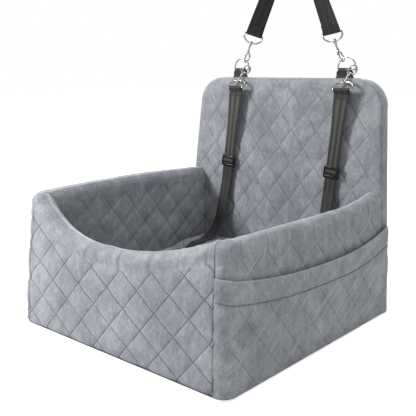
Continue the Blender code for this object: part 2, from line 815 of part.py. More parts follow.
def pocket_top(y):
    """Height of the pocket's upper edge."""
    if y < POCKET_LOW_Y:
        share = (POCKET_LOW_Y - y) / (POCKET_LOW_Y - FRONT_Y)
        return POCKET_LOW + POCKET_FRONT_RISE * share ** POCKET_FRONT_POWER
    share = (y - POCKET_LOW_Y) / (REAR_Y - POCKET_LOW_Y)
    return POCKET_LOW + POCKET_REAR_RISE * share ** POCKET_REAR_POWER


def pocket_stations():
    """Places along the right side's outer path for the pocket's sections."""
    arc = CORNER_RADIUS * math.pi / 2
    end = side_length() + BACK_THICK - BACK_EDGE
    bend = [CLEAR] + [arc * k / CORNER_STEPS for k in range(1, CORNER_STEPS)]
    return bend + lattice(arc, end, arc, QUILT_WIDE / 2)


def pocket_point(length, z, depth):
    """Point of the pocket at a place along the side and a height, depth outside its inner face."""
    stations = pocket_stations()
    share = (length - stations[0]) / (stations[-1] - stations[0])
    spot, way = side_surface(length, z)
    top = pocket_top(spot.y)
    room = POCKET_ROOM * (z / top) * math.sin(math.pi * min(max(share, 0), 1)) ** POCKET_ROOM_POWER
    spot = spot + way * (CLEAR * 2 + room + depth)
    return spot.x, spot.y, z


def make_pocket(velvet):
    """Patch pocket on the right side and the turned hem along its upper edge."""
    sheet, sheet_relief, hem = [], [], []
    for length in pocket_stations():
        spot = side_surface(length, 0)[0]
        top = pocket_top(spot.y)
        seam = top - POCKET_HEM
        levels = [FLOOR + POCKET_FOOT + (seam - CLEAR - FLOOR - POCKET_FOOT) * k / 5 for k in range(6)]
        ring, depth = [], []
        for z in levels:
            fade = ramp(z, FLOOR, QUILT_FADE) * ramp(seam - z, 0, QUILT_FADE)
            pattern = puff(length, z - QUILT_START_Z, QUILT_WIDE, QUILT_TALL)
            dent = QUILT_DEPTH / 2 * fade * (1 - pattern)
            ring.append(pocket_point(length, z, POCKET_SHEET - dent))
            depth.append(-dent)
        for z in (levels[-1], levels[3], levels[0]):
            ring.append(pocket_point(length, z, 0))
            depth.append(0)
        sheet.append(ring)
        sheet_relief.append(depth)
        middle = seam + POCKET_HEM / 2
        band = [pocket_point(length, z, POCKET_HEM_SHEET * share) for z, share in
                ((seam, HEM_FOOT_SHARE), (middle, 1), (top, HEM_TOP_SHARE), (top, 0), (seam, 0))]
        hem.append(band)
    make_object("pocket_panel", ring_mesh("pocket_panel", sheet, sheet_relief), velvet)
    make_object("pocket_hem", ring_mesh("pocket_hem", hem), velvet)


def ribbon_mesh(name, points, widths, thick=WEB_THICK):
    """Flat webbing along a path; widths are vectors across it, as long as the webbing is wide."""
    rings = []
    for i, point in enumerate(points):
        before = points[max(i - 1, 0)]
        after = points[min(i + 1, len(points) - 1)]
        along = (after - before).normalized()
        across = widths[i] - along * widths[i].dot(along)
        across = across.normalized() * (widths[i].length / 2)
        out = along.cross(across).normalized() * (thick / 2)
        rings.append([point - across - out, point + across - out, point + across + out,
                      point - across + out])
    return ring_mesh(name, rings)


def fold_path(bar, run, out):
    """Webbing folded round an eye's bar: from the sewn tail, round the bar, to the run's start.

    run points away from the eye along the webbing, out points to the side where the run lies.
    """
    wrap = EYE_WIRE + CLEAR + WEB_THICK / 2
    tail = bar + run * FOLD_LENGTH + out * (wrap - WEB_THICK - FOLD_GAP)
    points = [tail]
    for step in range(7):
        turn = math.pi * step / 6
        points.append(bar - out * (wrap * math.cos(turn)) - run * (wrap * math.sin(turn)))
    return points


def frame_matrix(origin, axis, across):
    """Matrix whose z is an axis and whose x lies nearest to a given direction."""
    z = axis.normalized()
    x = (across - z * across.dot(z)).normalized()
    y = z.cross(x)
    matrix = Matrix((x, y, z)).transposed().to_4x4()
    matrix.translation = origin
    return matrix


def eye_mesh():
    """Snap hook's eye: a closed wire loop for the webbing with a bored boss for the swivel."""
    level = -EYE_LEVEL
    corners = ((EYE_TOP_HALF, level), (EYE_BAR_HALF, EYE_SIDE - EYE_DROP), (EYE_BAR_HALF, -EYE_DROP),
               (-EYE_BAR_HALF, -EYE_DROP), (-EYE_BAR_HALF, EYE_SIDE - EYE_DROP), (-EYE_TOP_HALF, level))
    radii = (EYE_SHOULDER, EYE_SHOULDER, EYE_CORNER, EYE_CORNER, EYE_SHOULDER, EYE_SHOULDER)
    path = [(p.x, 0, p.y) for p in rounded_outline(corners, radii, 2)]
    loop = tube_mesh("eye_loop", path, [EYE_WIRE] * len(path), (0, 1, 0), 6, True)
    eye = make_object("eye_master", loop)
    low = -BOSS_TOP - BOSS_HEIGHT
    boss = lathe_mesh("boss", ((0, low), (BOSS_RADIUS, low), (BOSS_RADIUS, -BOSS_TOP), (0, -BOSS_TOP)))
    cut(eye, cutter("boss", boss), "UNION")
    hole_radius = STEM_RADIUS + STEM_CLEAR
    ends = (low - OVERRUN, -BOSS_TOP + OVERRUN)
    hole = lathe_mesh("eye_hole", ((0, ends[0]), (hole_radius, ends[0]), (hole_radius, ends[1]),
                                   (0, ends[1])))
    cut(eye, cutter("eye_hole", hole))
    return baked(eye, "eye")


def capsule(start, end, radius, steps=4):
    """Outline round two places in a plane, as a pin plate has."""
    first, last = Vector(start), Vector(end)
    way = (last - first).normalized()
    side = Vector((-way.y, way.x))
    points = []
    for centre, sign in ((first, 1), (last, -1)):
        for step in range(steps + 1):
            turn = math.pi * step / steps
            points.append(centre + (side * math.cos(turn) - way * math.sin(turn)) * radius * sign)
    return points


def upright(point, level):
    """Place an outline point in the claw's plane, level across it."""
    return point.x, level, point.y


def claw_mesh():
    """Snap hook's swivelling body: rivet, stem, collar, barrel, curved claw, ears and gate pin."""
    head = -BOSS_TOP - BOSS_HEIGHT - CLEAR
    profile = ((0, head - RIVET_HEIGHT), (RIVET_RADIUS, head - RIVET_HEIGHT), (RIVET_RADIUS, head),
               (STEM_RADIUS, head), (STEM_RADIUS, 0), (COLLAR_RADIUS, 0),
               (COLLAR_RADIUS, COLLAR_HEIGHT), (BARREL_RADIUS, BARREL_LOW),
               (BARREL_TIP_RADIUS, BARREL_TOP), (0, BARREL_TOP))
    body = make_object("claw_master", lathe_mesh("claw_stem", profile))
    path = [(0, 0, CLAW_ROOT_Z), (CLAW_BEND_X, 0, CLAW_BEND_Z)]
    for step in range(CLAW_STEPS + 1):
        turn = CLAW_START + (CLAW_END - CLAW_START) * step / CLAW_STEPS
        path.append((CLAW_X + CLAW_HALF_WIDTH * math.cos(turn), 0,
                     CLAW_Z + CLAW_HALF_HEIGHT * math.sin(turn)))
    radii = [CLAW_WIRE] * (len(path) - 1) + [CLAW_TIP_WIRE]
    cut(body, cutter("claw_hook", tube_mesh("claw_hook", path, radii, (0, 1, 0))), "UNION")
    ear = capsule((PIVOT_X, PIVOT_Z), (CLAW_BEND_X, CLAW_BEND_Z), EAR_RADIUS)
    inner = GATE_HALF + CLEAR
    for name, low, high in (("ear_a", inner, inner + EAR_THICK), ("ear_b", -inner - EAR_THICK, -inner)):
        cut(body, cutter(name, plate_mesh(name, ear, low, high, upright)), "UNION")
    reach = inner + EAR_THICK / 2
    pin = lathe_mesh("pin", ((0, -reach), (PIN_RADIUS, -reach), (PIN_RADIUS, reach), (0, reach)), 6)
    pin.transform(Matrix.Translation((PIVOT_X, 0, PIVOT_Z)) @ Matrix.Rotation(math.pi / 2, 4, "X"))
    cut(body, cutter("gate_pin", pin), "UNION")
    return baked(body, "claw")


def gate_mesh():
    """Snap hook's sprung gate with its thumb tab, origin on its pin."""
    low = PIVOT_Z - GATE_ROOT
    corners = ((PIVOT_X - GATE_ROOT, low), (PIVOT_X + GATE_ROOT, low),
               (GATE_TOP_RIGHT_X, GATE_TOP_Z), (GATE_TOP_LEFT_X, GATE_TOP_Z),
               (TAB_NECK_X, TAB_NECK_TOP_Z), (TAB_KNOB_X, TAB_KNOB_TOP_Z),
               (TAB_KNOB_X, TAB_KNOB_LOW_Z), (TAB_NECK_X, TAB_NECK_LOW_Z))
    root = GATE_ROOT * GATE_ROOT_SHARE
    radii = (root, root, GATE_ROUND, GATE_ROUND, GATE_ROUND, TAB_KNOB_ROUND, TAB_KNOB_ROUND, GATE_ROUND)
    outline = rounded_outline(corners, radii, 2)
    plate = plate_mesh("gate_plate", outline, -GATE_HALF, GATE_HALF, upright)
    gate = make_object("gate_master", plate)
    reach = GATE_HALF + OVERRUN
    radius = PIN_RADIUS + PIN_CLEAR
    hole = lathe_mesh("gate_hole", ((0, -reach), (radius, -reach), (radius, reach), (0, reach)), 8)
    hole.transform(Matrix.Translation((PIVOT_X, 0, PIVOT_Z)) @ Matrix.Rotation(math.pi / 2, 4, "X"))
    cut(gate, cutter("gate_hole", hole))
    mesh = baked(gate, "gate")
    mesh.transform(Matrix.Translation((-PIVOT_X, 0, -PIVOT_Z)))
    return mesh


def grip_origin(seat, axis, across, grip):
    """Place of a hook's swivel when the wire at seat lies at grip in the claw's own plane."""
    return seat - frame_matrix(Vector(), axis, across) @ Vector((grip[0], 0, grip[1]))


def place_hook(name, origin, axis, across, web_across, meshes, steel):
    """Put one snap hook together and return the middle of its eye's bar.

    origin is its swivel, axis points from the eye to the claw, across is the claw's opening
    direction and web_across the direction of the eye's bar.
    """
    claw_frame = frame_matrix(origin, axis, across)
    eye_frame = frame_matrix(origin, axis, web_across)
    make_object(name + "_eye", meshes["eye"].copy(), steel, eye_frame)
    make_object(name + "_claw", meshes["claw"].copy(), steel, claw_frame)
    pivot = claw_frame @ Matrix.Translation((PIVOT_X, 0, PIVOT_Z))
    make_object(name + "_gate", meshes["gate"].copy(), steel, pivot)
    return eye_frame @ Vector((0, 0, -EYE_DROP))


def ring_path():
    """Outline of a D-ring in its plane, bar along x at height 0 and bow above it."""
    path = [(-RING_HALF + RING_CORNER, 0), (RING_HALF - RING_CORNER, 0)]
    for step in range(RING_STEPS + 1):
        turn = math.pi * step / RING_STEPS
        path.append((RING_HALF * math.cos(turn), RING_CORNER + (RING_RISE - RING_CORNER) * math.sin(turn)))
    return path


def bow_point(x):
    """Place on the bow of a D-ring at a distance from its middle."""
    return RING_CORNER + (RING_RISE - RING_CORNER) * math.sqrt(1 - (x / RING_HALF) ** 2)


def ring_level():
    """Height of the D-rings' bars."""
    return BACK_TOP + TAB_RISE - WEB_THICK - CLEAR - RING_WIRE


def ring_x(sign):
    """Middle of a D-ring across the seat, a little off the middle of its tab."""
    return TAB_CENTRE_X + sign * TAB_SPACING / 2 + RING_SHIFT


def make_rings(webbing, steel):
    """Two webbing tabs on the top seam and the D-rings that they hold."""
    y = back_top_y()
    level = ring_level()
    wrap = RING_WIRE + CLEAR + WEB_THICK / 2
    foot = FOLD_GAP / 2 + WEB_THICK / 2
    start = BACK_TOP + CLEAR
    taper = start + (level - start) / 4
    for name, sign in (("left", -1), ("right", 1)):
        x = ring_x(sign)
        path = [(-foot, start, 1), (-foot, taper, TAB_TAPER_SHARE), (-wrap, level, 0)]
        for step in range(1, 4):
            turn = math.pi * step / 4
            path.append((-wrap * math.cos(turn), level + wrap * math.sin(turn), 0))
        path += [(wrap, level, 0), (foot, taper, TAB_TAPER_SHARE), (foot, start, 1)]
        points = [Vector((x - RING_SHIFT, y + offset, z)) for offset, z, wide in path]
        spread = WEB_WIDTH - TAB_TOP_WIDTH
        widths = [Vector((TAB_TOP_WIDTH + spread * wide, 0, 0)) for offset, z, wide in path]
        make_object("tab_" + name, ribbon_mesh("tab_" + name, points, widths), webbing)
        loop = [(x + px, y, level + pz) for px, pz in ring_path()]
        wire = tube_mesh("d_ring_" + name, loop, [RING_WIRE] * len(loop), (0, 1, 0), TUBE_SIDES, True)
        make_object("d_ring_" + name, wire, steel)


def make_headrest_strap(webbing, steel, meshes):
    """Strap over the headrest: one webbing with a snap hook on each D-ring."""
    apex = Vector(STRAP_APEX)
    across = Vector((math.sin(STRAP_TWIST), math.cos(STRAP_TWIST), 0))
    folds, runs, bars = [], [], []
    for name, sign in (("left", -1), ("right", 1)):
        offset = -sign * STRAP_RING_X
        seat = Vector((ring_x(sign) + offset, back_top_y(), ring_level() + bow_point(offset)))
        run = (apex - seat).normalized()
        rearward = Vector((0, 1, 0))
        origin = grip_origin(seat, -run, rearward, (STRAP_GRIP_X, STRAP_GRIP_Z))
        bar = place_hook("strap_hook_" + name, origin, -run, rearward, across, meshes, steel)
        out = run.cross(across).normalized() * -sign
        folds.append(fold_path(bar, run, out))
        runs.append(run)
        bars.append(out.cross(run) * -sign)
    half_turn = (math.pi - runs[0].angle(runs[1])) / 2
    centre = apex - (runs[0] + runs[1]).normalized() * (STRAP_BEND / math.cos(half_turn))
    ends = [apex - run * STRAP_BEND * math.tan(half_turn) - centre for run in runs]
    bend = [centre + ends[0].slerp(ends[1], k / BEND_STEPS) * STRAP_BEND for k in range(BEND_STEPS + 1)]
    up = [folds[0][-1].lerp(bend[0], k / STRAP_STEPS) for k in range(1, STRAP_STEPS)]
    down = [bend[-1].lerp(folds[1][-1], k / STRAP_STEPS) for k in range(1, STRAP_STEPS)]
    points = folds[0] + up + bend + down + list(reversed(folds[1]))
    fold_count = len(folds[0])
    middle = (len(points) - 1) / 2
    widths = []
    for i in range(len(points)):
        away = abs(i - middle)
        angle = STRAP_TWIST * ramp(away, 0, middle - fold_count + 1)
        width = Vector((math.sin(angle), math.cos(angle), 0))
        if away > middle - fold_count:
            width = bars[0 if i < middle else 1]
        widths.append(width * WEB_WIDTH)
    make_object("headrest_strap", ribbon_mesh("headrest_strap", points, widths), webbing)


def spline(points, steps):
    """Smooth path through points by the Catmull-Rom formula, steps to each stretch."""
    padded = [points[0] * 2 - points[1]] + points + [points[-1] * 2 - points[-2]]
    path = []
    for a, b, c, d in zip(padded, padded[1:], padded[2:], padded[3:]):
        for step in range(steps):
            t = step / steps
            path.append((b * 2 + (c - a) * t + (a * 2 - b * 5 + c * 4 - d) * t ** 2
                         + (b * 3 - a - c * 3 + d) * t ** 3) / 2)
    return path + [points[-1]]


def buckle_mesh():
    """Three-bar slider in its own frame: z along the webbing, x across it, y out of it.

    The outer bars lie in front of the webbing and the middle bar behind it, so it slides.
    """
    inner = TETHER_WIDTH / 2 + CLEAR
    web = WEB_THICK / 2 + CLEAR
    half = BUCKLE_LENGTH / 2
    deep = web + BUCKLE_BAR
    left = make_object("buckle_master", box_mesh("rail_a", (-inner - BUCKLE_RAIL, -deep, -half),
                                                 (-inner, deep, half)), smooth=False)
    right = box_mesh("rail_b", (inner, -deep, -half), (inner + BUCKLE_RAIL, deep, half))
    cut(left, cutter("rail_b", right), "UNION")
    bars = (("bar_low", web, deep, -half, -half + BUCKLE_BAR_LENGTH),
            ("bar_top", web, deep, half - BUCKLE_BAR_LENGTH, half),
            ("bar_mid", -deep, -web, -BUCKLE_MID_LENGTH / 2, BUCKLE_MID_LENGTH / 2))
    for name, back, front, low, high in bars:
        reach = inner + BUCKLE_RAIL / 2
        cut(left, cutter(name, box_mesh(name, (-reach, back, low), (reach, front, high))), "UNION")
    mesh = baked(left, "buckle")
    bm = bmesh.new()
    bm.from_mesh(mesh)
    bmesh.ops.dissolve_limit(bm, angle_limit=math.radians(1), verts=bm.verts, edges=bm.edges)
    outer = [edge for edge in bm.edges if all(abs(vert.co.x) > inner + BUCKLE_RAIL * BUCKLE_OUTER_SHARE
                                              for vert in edge.verts)]
    bmesh.ops.bevel(bm, geom=outer, offset=BUCKLE_EDGE, segments=1, affect="EDGES")
    bm.to_mesh(mesh)
    bm.free()
    return mesh


def before_back(place):
    """Point or plan place of a route, given by its distance in front of the backrest's face."""
    return Vector((place[0], BACK_FRONT_Y - place[1], *place[2:]))


def make_tether(name, sign, run_route, rest_route, eye_route, meshes, mats):
    """One tether: upper snap hook on the D-ring, webbing, sliding buckle, lower snap hook."""
    run_points = [before_back(place) for place in run_route]
    rest_points = [before_back(place) for place in rest_route]
    eye_place = before_back(eye_route)
    webbing, steel, plastic = mats
    lean = Vector((0, math.sin(TETHER_TOP_LEAN), math.cos(TETHER_TOP_LEAN)))
    seat = Vector((ring_x(sign) + TETHER_RING_X, back_top_y(), ring_level() + TETHER_RING_Z))
    claw_across = Vector((math.sin(TETHER_TOP_TURN), math.cos(TETHER_TOP_TURN), 0))
    web_across = Vector((1, 0, 0))
    origin = grip_origin(seat, lean, claw_across, (TETHER_GRIP_X, TETHER_GRIP_Z))
    bar = place_hook("tether_hook_" + name, origin, lean, claw_across, web_across, meshes, steel)

    down = (run_points[0] - bar).normalized()
    out = web_across.cross(down).normalized()
    first = fold_path(bar, out.cross(web_across), out)
    start = first[-1]
    straight_end = start + down * TETHER_STRAIGHT
    straight = [start.lerp(straight_end, k / 3) for k in range(1, 3)]

    lift = WEB_THICK / 2 + CLEAR * 2
    resting = [on_cushion(place, lift) for place in rest_points]
    ahead = (eye_place - rest_points[-1]).normalized()
    foot = on_cushion(eye_place, LOWER_HOOK_LIFT)
    axis = (on_cushion(eye_place + ahead * CLAW_Z, LOWER_HOOK_LIFT) - foot).normalized()
    side = cushion_across(eye_place, ahead)
    last_bar = place_hook("lead_hook_" + name, foot + axis * EYE_DROP, axis, side * sign, side,
                          meshes, steel)
    last = list(reversed(fold_path(last_bar, -axis, side.cross(axis).normalized())))
    free = [straight_end] + run_points[1:] + resting + [last[0]]
    curve = spline(free, RUN_STEPS)
    landing = RUN_STEPS * len(run_points)
    curve[landing:-1] = [on_cushion(point.xy, lift) for point in curve[landing:-1]]
    points = first + straight + curve + last[1:]
    bend_start = len(first) + len(straight)
    widths = []
    for i, point in enumerate(points):
        flat = cushion_across(point.xy, ahead)
        share = ramp(i, bend_start, bend_start + landing)
        widths.append(web_across.lerp(flat, share).normalized() * TETHER_WIDTH)
    make_object("tether_" + name, ribbon_mesh("tether_" + name, points, widths), webbing)

    place = start + down * BUCKLE_DROP
    frame = frame_matrix(place, -down, web_across)
    if (frame.to_3x3() @ Vector((0, 1, 0))).dot(out) < 0:
        frame = frame @ Matrix.Rotation(math.pi, 4, "Z")
    make_object("buckle_" + name, meshes["buckle"].copy(), plastic, frame)


def make_zip(tape_mat, chain_mat, steel):
    """Zip across the back of the backrest: two tapes, chain, slider and pull."""
    half = ZIP_LENGTH / 2
    face = REAR_Y + CLEAR
    outer = face + ZIP_TAPE_THICK
    gap = ZIP_CHAIN / 2 + CLEAR
    for name, low, high in (("lower", ZIP_Z - ZIP_TAPE / 2, ZIP_Z - gap),
                            ("upper", ZIP_Z + gap, ZIP_Z + ZIP_TAPE / 2)):
        strip = box_mesh("zip_tape_" + name, (-half, face, low), (half, outer, high))
        make_object("zip_tape_" + name, strip, tape_mat, smooth=False)
    rise = face + ZIP_CHAIN_RISE
    chain = box_mesh("zip_chain", (-half + ZIP_END, face, ZIP_Z - ZIP_CHAIN / 2),
                     (half - ZIP_END, rise, ZIP_Z + ZIP_CHAIN / 2))
    make_object("zip_chain", chain, chain_mat, smooth=False)

    # The slider's own frame: x along the chain, y out of the backrest
    place = Matrix.Translation((-half + ZIP_END + ZIP_SLIDER_LENGTH / 2, rise, ZIP_Z))
    length = ZIP_SLIDER_LENGTH / 2
    reach = ZIP_CHAIN / 2 + ZIP_SLIDER_CLEAR
    foot = outer + ZIP_SLIDER_CLEAR - rise
    top = ZIP_SLIDER_CLEAR + ZIP_SLIDER_WALL
    body = make_object("zip_slider", box_mesh("zip_slider", (-length, foot, -reach - ZIP_SLIDER_WALL),
                                              (length, top, reach + ZIP_SLIDER_WALL)), steel, place)
    channel = box_mesh("channel", (-length - OVERRUN, foot - OVERRUN, -reach),
                       (length + OVERRUN, ZIP_SLIDER_CLEAR, reach))
    cut(body, cutter("channel", channel, place))
    sunk = top - ZIP_SLIDER_WALL / 2
    lug = [(-ZIP_LUG_HALF, sunk, 0), (-ZIP_LUG_HALF, top + ZIP_LUG_RISE, 0),
           (ZIP_LUG_HALF, top + ZIP_LUG_RISE, 0), (ZIP_LUG_HALF, sunk, 0)]
    bow = tube_mesh("lug", lug, [ZIP_LUG_WIRE] * len(lug), (0, 0, 1), 6)
    cut(body, cutter("lug", bow, place), "UNION")

    bar = ZIP_PULL_THICK / 2
    wide = ZIP_PULL_WIDTH / 2
    narrow = ZIP_LUG_WIRE + ZIP_PULL_THICK
    corners = ((bar, -narrow), (bar, narrow), (-ZIP_PULL_WAIST, narrow), (-ZIP_PULL_LENGTH, wide),
               (-ZIP_PULL_LENGTH, -wide), (-ZIP_PULL_WAIST, -narrow))
    outline = rounded_outline(corners, (bar, bar, bar, wide * ZIP_PULL_END_SHARE,
                                        wide * ZIP_PULL_END_SHARE, bar))
    axis = place @ Matrix.Translation((0, top + (ZIP_LUG_RISE - ZIP_LUG_WIRE) / 2, 0))
    plate = plate_mesh("zip_pull", outline, -bar, bar, lambda p, level: (p.x, level, p.y))
    pull = make_object("zip_pull", plate, steel, axis)
    hole = narrow - ZIP_PULL_THICK / 2
    window = box_mesh("window", (-ZIP_PULL_WINDOW, -bar - OVERRUN, -hole), (-bar, bar + OVERRUN, hole))
    cut(pull, cutter("window", window, axis))


def main():
    """Build the whole seat."""
    clear_scene()
    velvet = make_material("grey_velvet", (0.33, 0.35, 0.39), 0.9)
    foam = make_material("foam", (0.86, 0.83, 0.72), 0.95)
    canvas = make_material("base_cloth", (0.05, 0.05, 0.055), 0.9)
    webbing = make_material("black_webbing", (0.035, 0.036, 0.038), 0.7)
    steel = make_material("nickel_steel", (0.78, 0.77, 0.74), 0.22, 1.0)
    plastic = make_material("black_plastic", (0.015, 0.015, 0.016), 0.28)
    tape = make_material("zip_tape", (0.22, 0.23, 0.26), 0.85)
    chain = make_material("zip_chain", (0.12, 0.12, 0.14), 0.45)
    make_base(canvas, foam)
    make_walls(velvet, foam)
    make_backrest(velvet, foam)
    make_cushion(velvet, foam)
    make_pocket(velvet)
    make_rings(webbing, steel)
    meshes = {"eye": eye_mesh(), "claw": claw_mesh(), "gate": gate_mesh(), "buckle": buckle_mesh()}
    make_headrest_strap(webbing, steel, meshes)
    mats = (webbing, steel, plastic)
    make_tether("left", -1, LEFT_RUN, LEFT_REST, LEFT_EYE, meshes, mats)
    make_tether("right", 1, RIGHT_RUN, RIGHT_REST, RIGHT_EYE, meshes, mats)
    make_zip(tape, chain, steel)


main()
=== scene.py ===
"""Looks of the dog car seat: quilted velvet walls, backrest, cushion and pocket, webbing and snap hooks.

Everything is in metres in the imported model's frame: +X to the right of someone who faces the seat, +Y from
the entry to the backrest, +Z up. New pieces are surfaces worked out on grids, whose docstrings give their formulas;
the cushion is blown up by a cloth simulation first.
"""

import json
import math

import bmesh
import bpy
import numpy as np
from mathutils import Matrix, Vector


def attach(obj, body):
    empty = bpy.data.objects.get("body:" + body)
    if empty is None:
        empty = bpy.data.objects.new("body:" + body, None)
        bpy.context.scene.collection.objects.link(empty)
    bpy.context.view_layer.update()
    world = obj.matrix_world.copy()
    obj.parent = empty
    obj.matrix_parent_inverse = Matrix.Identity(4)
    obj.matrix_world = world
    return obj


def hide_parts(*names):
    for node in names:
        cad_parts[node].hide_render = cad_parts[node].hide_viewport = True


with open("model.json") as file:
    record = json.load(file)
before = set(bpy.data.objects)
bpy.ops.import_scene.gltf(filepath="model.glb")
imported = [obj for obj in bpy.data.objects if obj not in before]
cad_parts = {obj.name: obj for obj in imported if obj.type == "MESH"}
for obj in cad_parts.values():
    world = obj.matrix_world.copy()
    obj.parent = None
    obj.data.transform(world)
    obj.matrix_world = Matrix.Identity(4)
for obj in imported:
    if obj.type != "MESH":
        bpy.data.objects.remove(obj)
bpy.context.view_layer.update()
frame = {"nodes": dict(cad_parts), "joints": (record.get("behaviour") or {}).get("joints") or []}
joints = {joint["name"]: joint for joint in frame["joints"]}
MM = 0.001

# Box of the seat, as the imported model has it
CLEAR = 0.3 * MM
BODY_HALF = 268 * MM
FRONT_Y = -272 * MM
REAR_Y = 272 * MM
SIDE_WALL = 52 * MM
FRONT_WALL = 54 * MM
CORNER_RADIUS = 25 * MM
LEAN_HEIGHT = 250 * MM
SIDE_LEAN = 14 * MM
FRONT_LEAN = 19 * MM
FLOOR = 0.6 * MM
CABIN_HALF = BODY_HALF - SIDE_WALL
CABIN_FRONT_Y = FRONT_Y + FRONT_WALL
SEAM_X = BODY_HALF - CORNER_RADIUS

# Backrest
BACK_THICK = 38 * MM
BACK_TOP = 481 * MM
BACK_CORNER = 58 * MM
BACK_TAPER = 19 * MM
BACK_LEAN = math.radians(3)
BACK_BEND_Z = 250 * MM
BACK_MID_Y = REAR_Y - BACK_THICK / 2
BACK_FRONT_Y = REAR_Y - BACK_THICK
WALL_REAR_Y = BACK_FRONT_Y - CLEAR
BACK_ROUND = 13 * MM
BACK_SIDE_SHARE = 0.62
GUSSET_SWELL = 1.6 * MM
BACK_MARK = 0.55

# Rims
RIM_RISE = 19 * MM
WALL_CROWN = 3 * MM
FOOT_ROUND = 9 * MM
RIM_BAND = 27 * MM
LEFT_CREST = 264 * MM
LEFT_BOW = 6 * MM
RIGHT_CREST = 241 * MM
RIGHT_FRONT_RISE = 3 * MM
RIGHT_REAR_RISE = 15 * MM
RIGHT_LOW_SHARE = 0.73
ENTRY_CREST = 190 * MM
ENTRY_OFFSET = -25 * MM
ENTRY_LEFT_POWER = 3.0
ENTRY_RIGHT_POWER = 1.9

# Quilting: two families of parallel seams. Each has its slope, the level distance between its seams and the
# place where one of them meets the level line at the panel's foot
FRONT_QUILT = {"rise": (1.13, 70 * MM, -51 * MM), "fall": (0.64, 93 * MM, 182 * MM)}
SIDE_QUILT = {"rise": (0.64, 93 * MM, 53 * MM), "fall": (1.13, 70 * MM, 30 * MM)}
BACK_QUILT = {"rise": (77 / 62, 62 * MM, -18.9 * MM), "fall": (77 / 62, 62 * MM, 18.9 * MM)}
CUSHION_QUILT = {"rise": (0.96, 67 * MM, 0), "fall": (0.96, 67 * MM, 0)}
SEAM_DEPTH = 2.4 * MM
SEAM_REACH = 5.5 * MM
SEAM_HOLES = 12.0
INNER_SHIFT = 21 * MM
BAND_FADE = 9 * MM
# Reach of the painted shade beside the sewn front corners
CORNER_SHADE_REACH = 1.3 * MM
FINE_STEP = 2.2 * MM

# Cushion
CUSHION_GAP = 1.2 * MM
CUSHION_FLOOR = 30.3 * MM
CUSHION_SIDE = 58 * MM
CUSHION_CROWN = 10 * MM
CUSHION_PUFF = 9 * MM
CUSHION_PUSH = 12 * MM

# Pocket
POCKET_SHEET = 3.5 * MM
POCKET_HEM = 37 * MM
POCKET_HEM_SWELL = 4.2 * MM
POCKET_LOW = 163 * MM
POCKET_LOW_Y = 60 * MM
POCKET_FRONT_RISE = 28.8 * MM
POCKET_REAR_RISE = 28 * MM
POCKET_FRONT_POWER = 2.4
POCKET_REAR_POWER = 2.0
POCKET_ROOM = 8.5 * MM
POCKET_ROOM_POWER = 0.45
POCKET_FOOT = 4.5 * MM

# Webbing: the straps' widths, the sewn folds round the hooks' eyes, the tabs of the D-rings
WEB_WIDTH = 38 * MM
TETHER_WIDTH = 28 * MM
WEB_THICK = 1.6 * MM
FOLD_LENGTH = 18 * MM
FOLD_GAP = 0.4 * MM
TAB_FOOT_WIDTH = 45 * MM
TAB_SHOULDER = 38 * MM
TAB_TOP_WIDTH = 29 * MM
TAB_RISE = 22.5 * MM
TAB_CENTRE_X = 5.5 * MM
TAB_SPACING = 276 * MM
RING_WIRE = 1.7 * MM
RING_HALF = 20.5 * MM
RING_RISE = 25 * MM
RING_SHIFT = 4 * MM
RING_CORNER = 4.5 * MM
STRAP_APEX = (-4 * MM, 285.6 * MM, 807 * MM)
STRAP_BEND = 18 * MM
STRAP_TWIST = math.radians(43)

# Tethers: the straight stretch, then points across the seat, in front of the backrest and up, then places on
# the cushion
TETHER_STRAIGHT = 215 * MM
TETHER_SPREAD = 8 * MM
SPLINE_STEPS = 12
LEFT_RUN = ((-0.1455, 0.0110, 0.2010), (-0.1505, 0.0180, 0.1540), (-0.1515, 0.0400, 0.1220))
LEFT_REST = ((-0.1505, 0.0760), (-0.1425, 0.1265))
RIGHT_RUN = ((0.1345, 0.0110, 0.2010), (0.1345, 0.0190, 0.1540), (0.1335, 0.0400, 0.1220))
RIGHT_REST = ((0.1300, 0.0760), (0.1220, 0.1270))
BUCKLE_DROP = 173 * MM
BUCKLE_LENGTH = 25 * MM
BUCKLE_RAIL = 3.4 * MM
BUCKLE_BAR = 2.6 * MM
BUCKLE_BAR_LENGTH = 6.2 * MM
BUCKLE_MID_LENGTH = 5.6 * MM

# Snap hooks in their own frame: x across the claw, z along the swivel from the eye to the claw
EYE_WIRE = 1.9 * MM
EYE_TOP_HALF = 11 * MM
EYE_BAR_HALF = WEB_WIDTH / 2 + CLEAR * 2 + EYE_WIRE
EYE_DROP = 21.5 * MM
EYE_SIDE = 10.5 * MM
EYE_CORNER = 2.4 * MM
EYE_LEVEL = 2.5 * MM
BOSS_RADIUS = 4.2 * MM
BOSS_TOP = 0.3 * MM
BOSS_HEIGHT = 4.4 * MM
STEM_RADIUS = 2.1 * MM
RIVET_RADIUS = 3.4 * MM
RIVET_HEIGHT = 1.8 * MM
COLLAR_RADIUS = 3.8 * MM
COLLAR_HEIGHT = 2.4 * MM
BARREL_RADIUS = 2.4 * MM
BARREL_LOW = 4 * MM
BARREL_TOP = 15 * MM
BARREL_TIP_RADIUS = 2 * MM
CLAW_WIRE = 2 * MM
CLAW_TIP_WIRE = 1.6 * MM
CLAW_X = 5.5 * MM
CLAW_Z = 33.5 * MM
CLAW_HALF_WIDTH = 7.5 * MM
CLAW_HALF_HEIGHT = 10.5 * MM
CLAW_ROOT_Z = 12.5 * MM
CLAW_BEND = (1.2 * MM, 18.5 * MM)
CLAW_TURN = (math.radians(255), math.radians(505))
PIVOT = (-2.2 * MM, 20.6 * MM)
PIN_HEAD = 1.1 * MM
GATE_HALF = 1.3 * MM
EAR_THICK = 1 * MM
EAR_RADIUS = 2.1 * MM
GATE_ROOT = 1.7 * MM
GATE_GAP = 1.4 * MM
GATE_TOP = (0.1 * MM, -2.5 * MM)
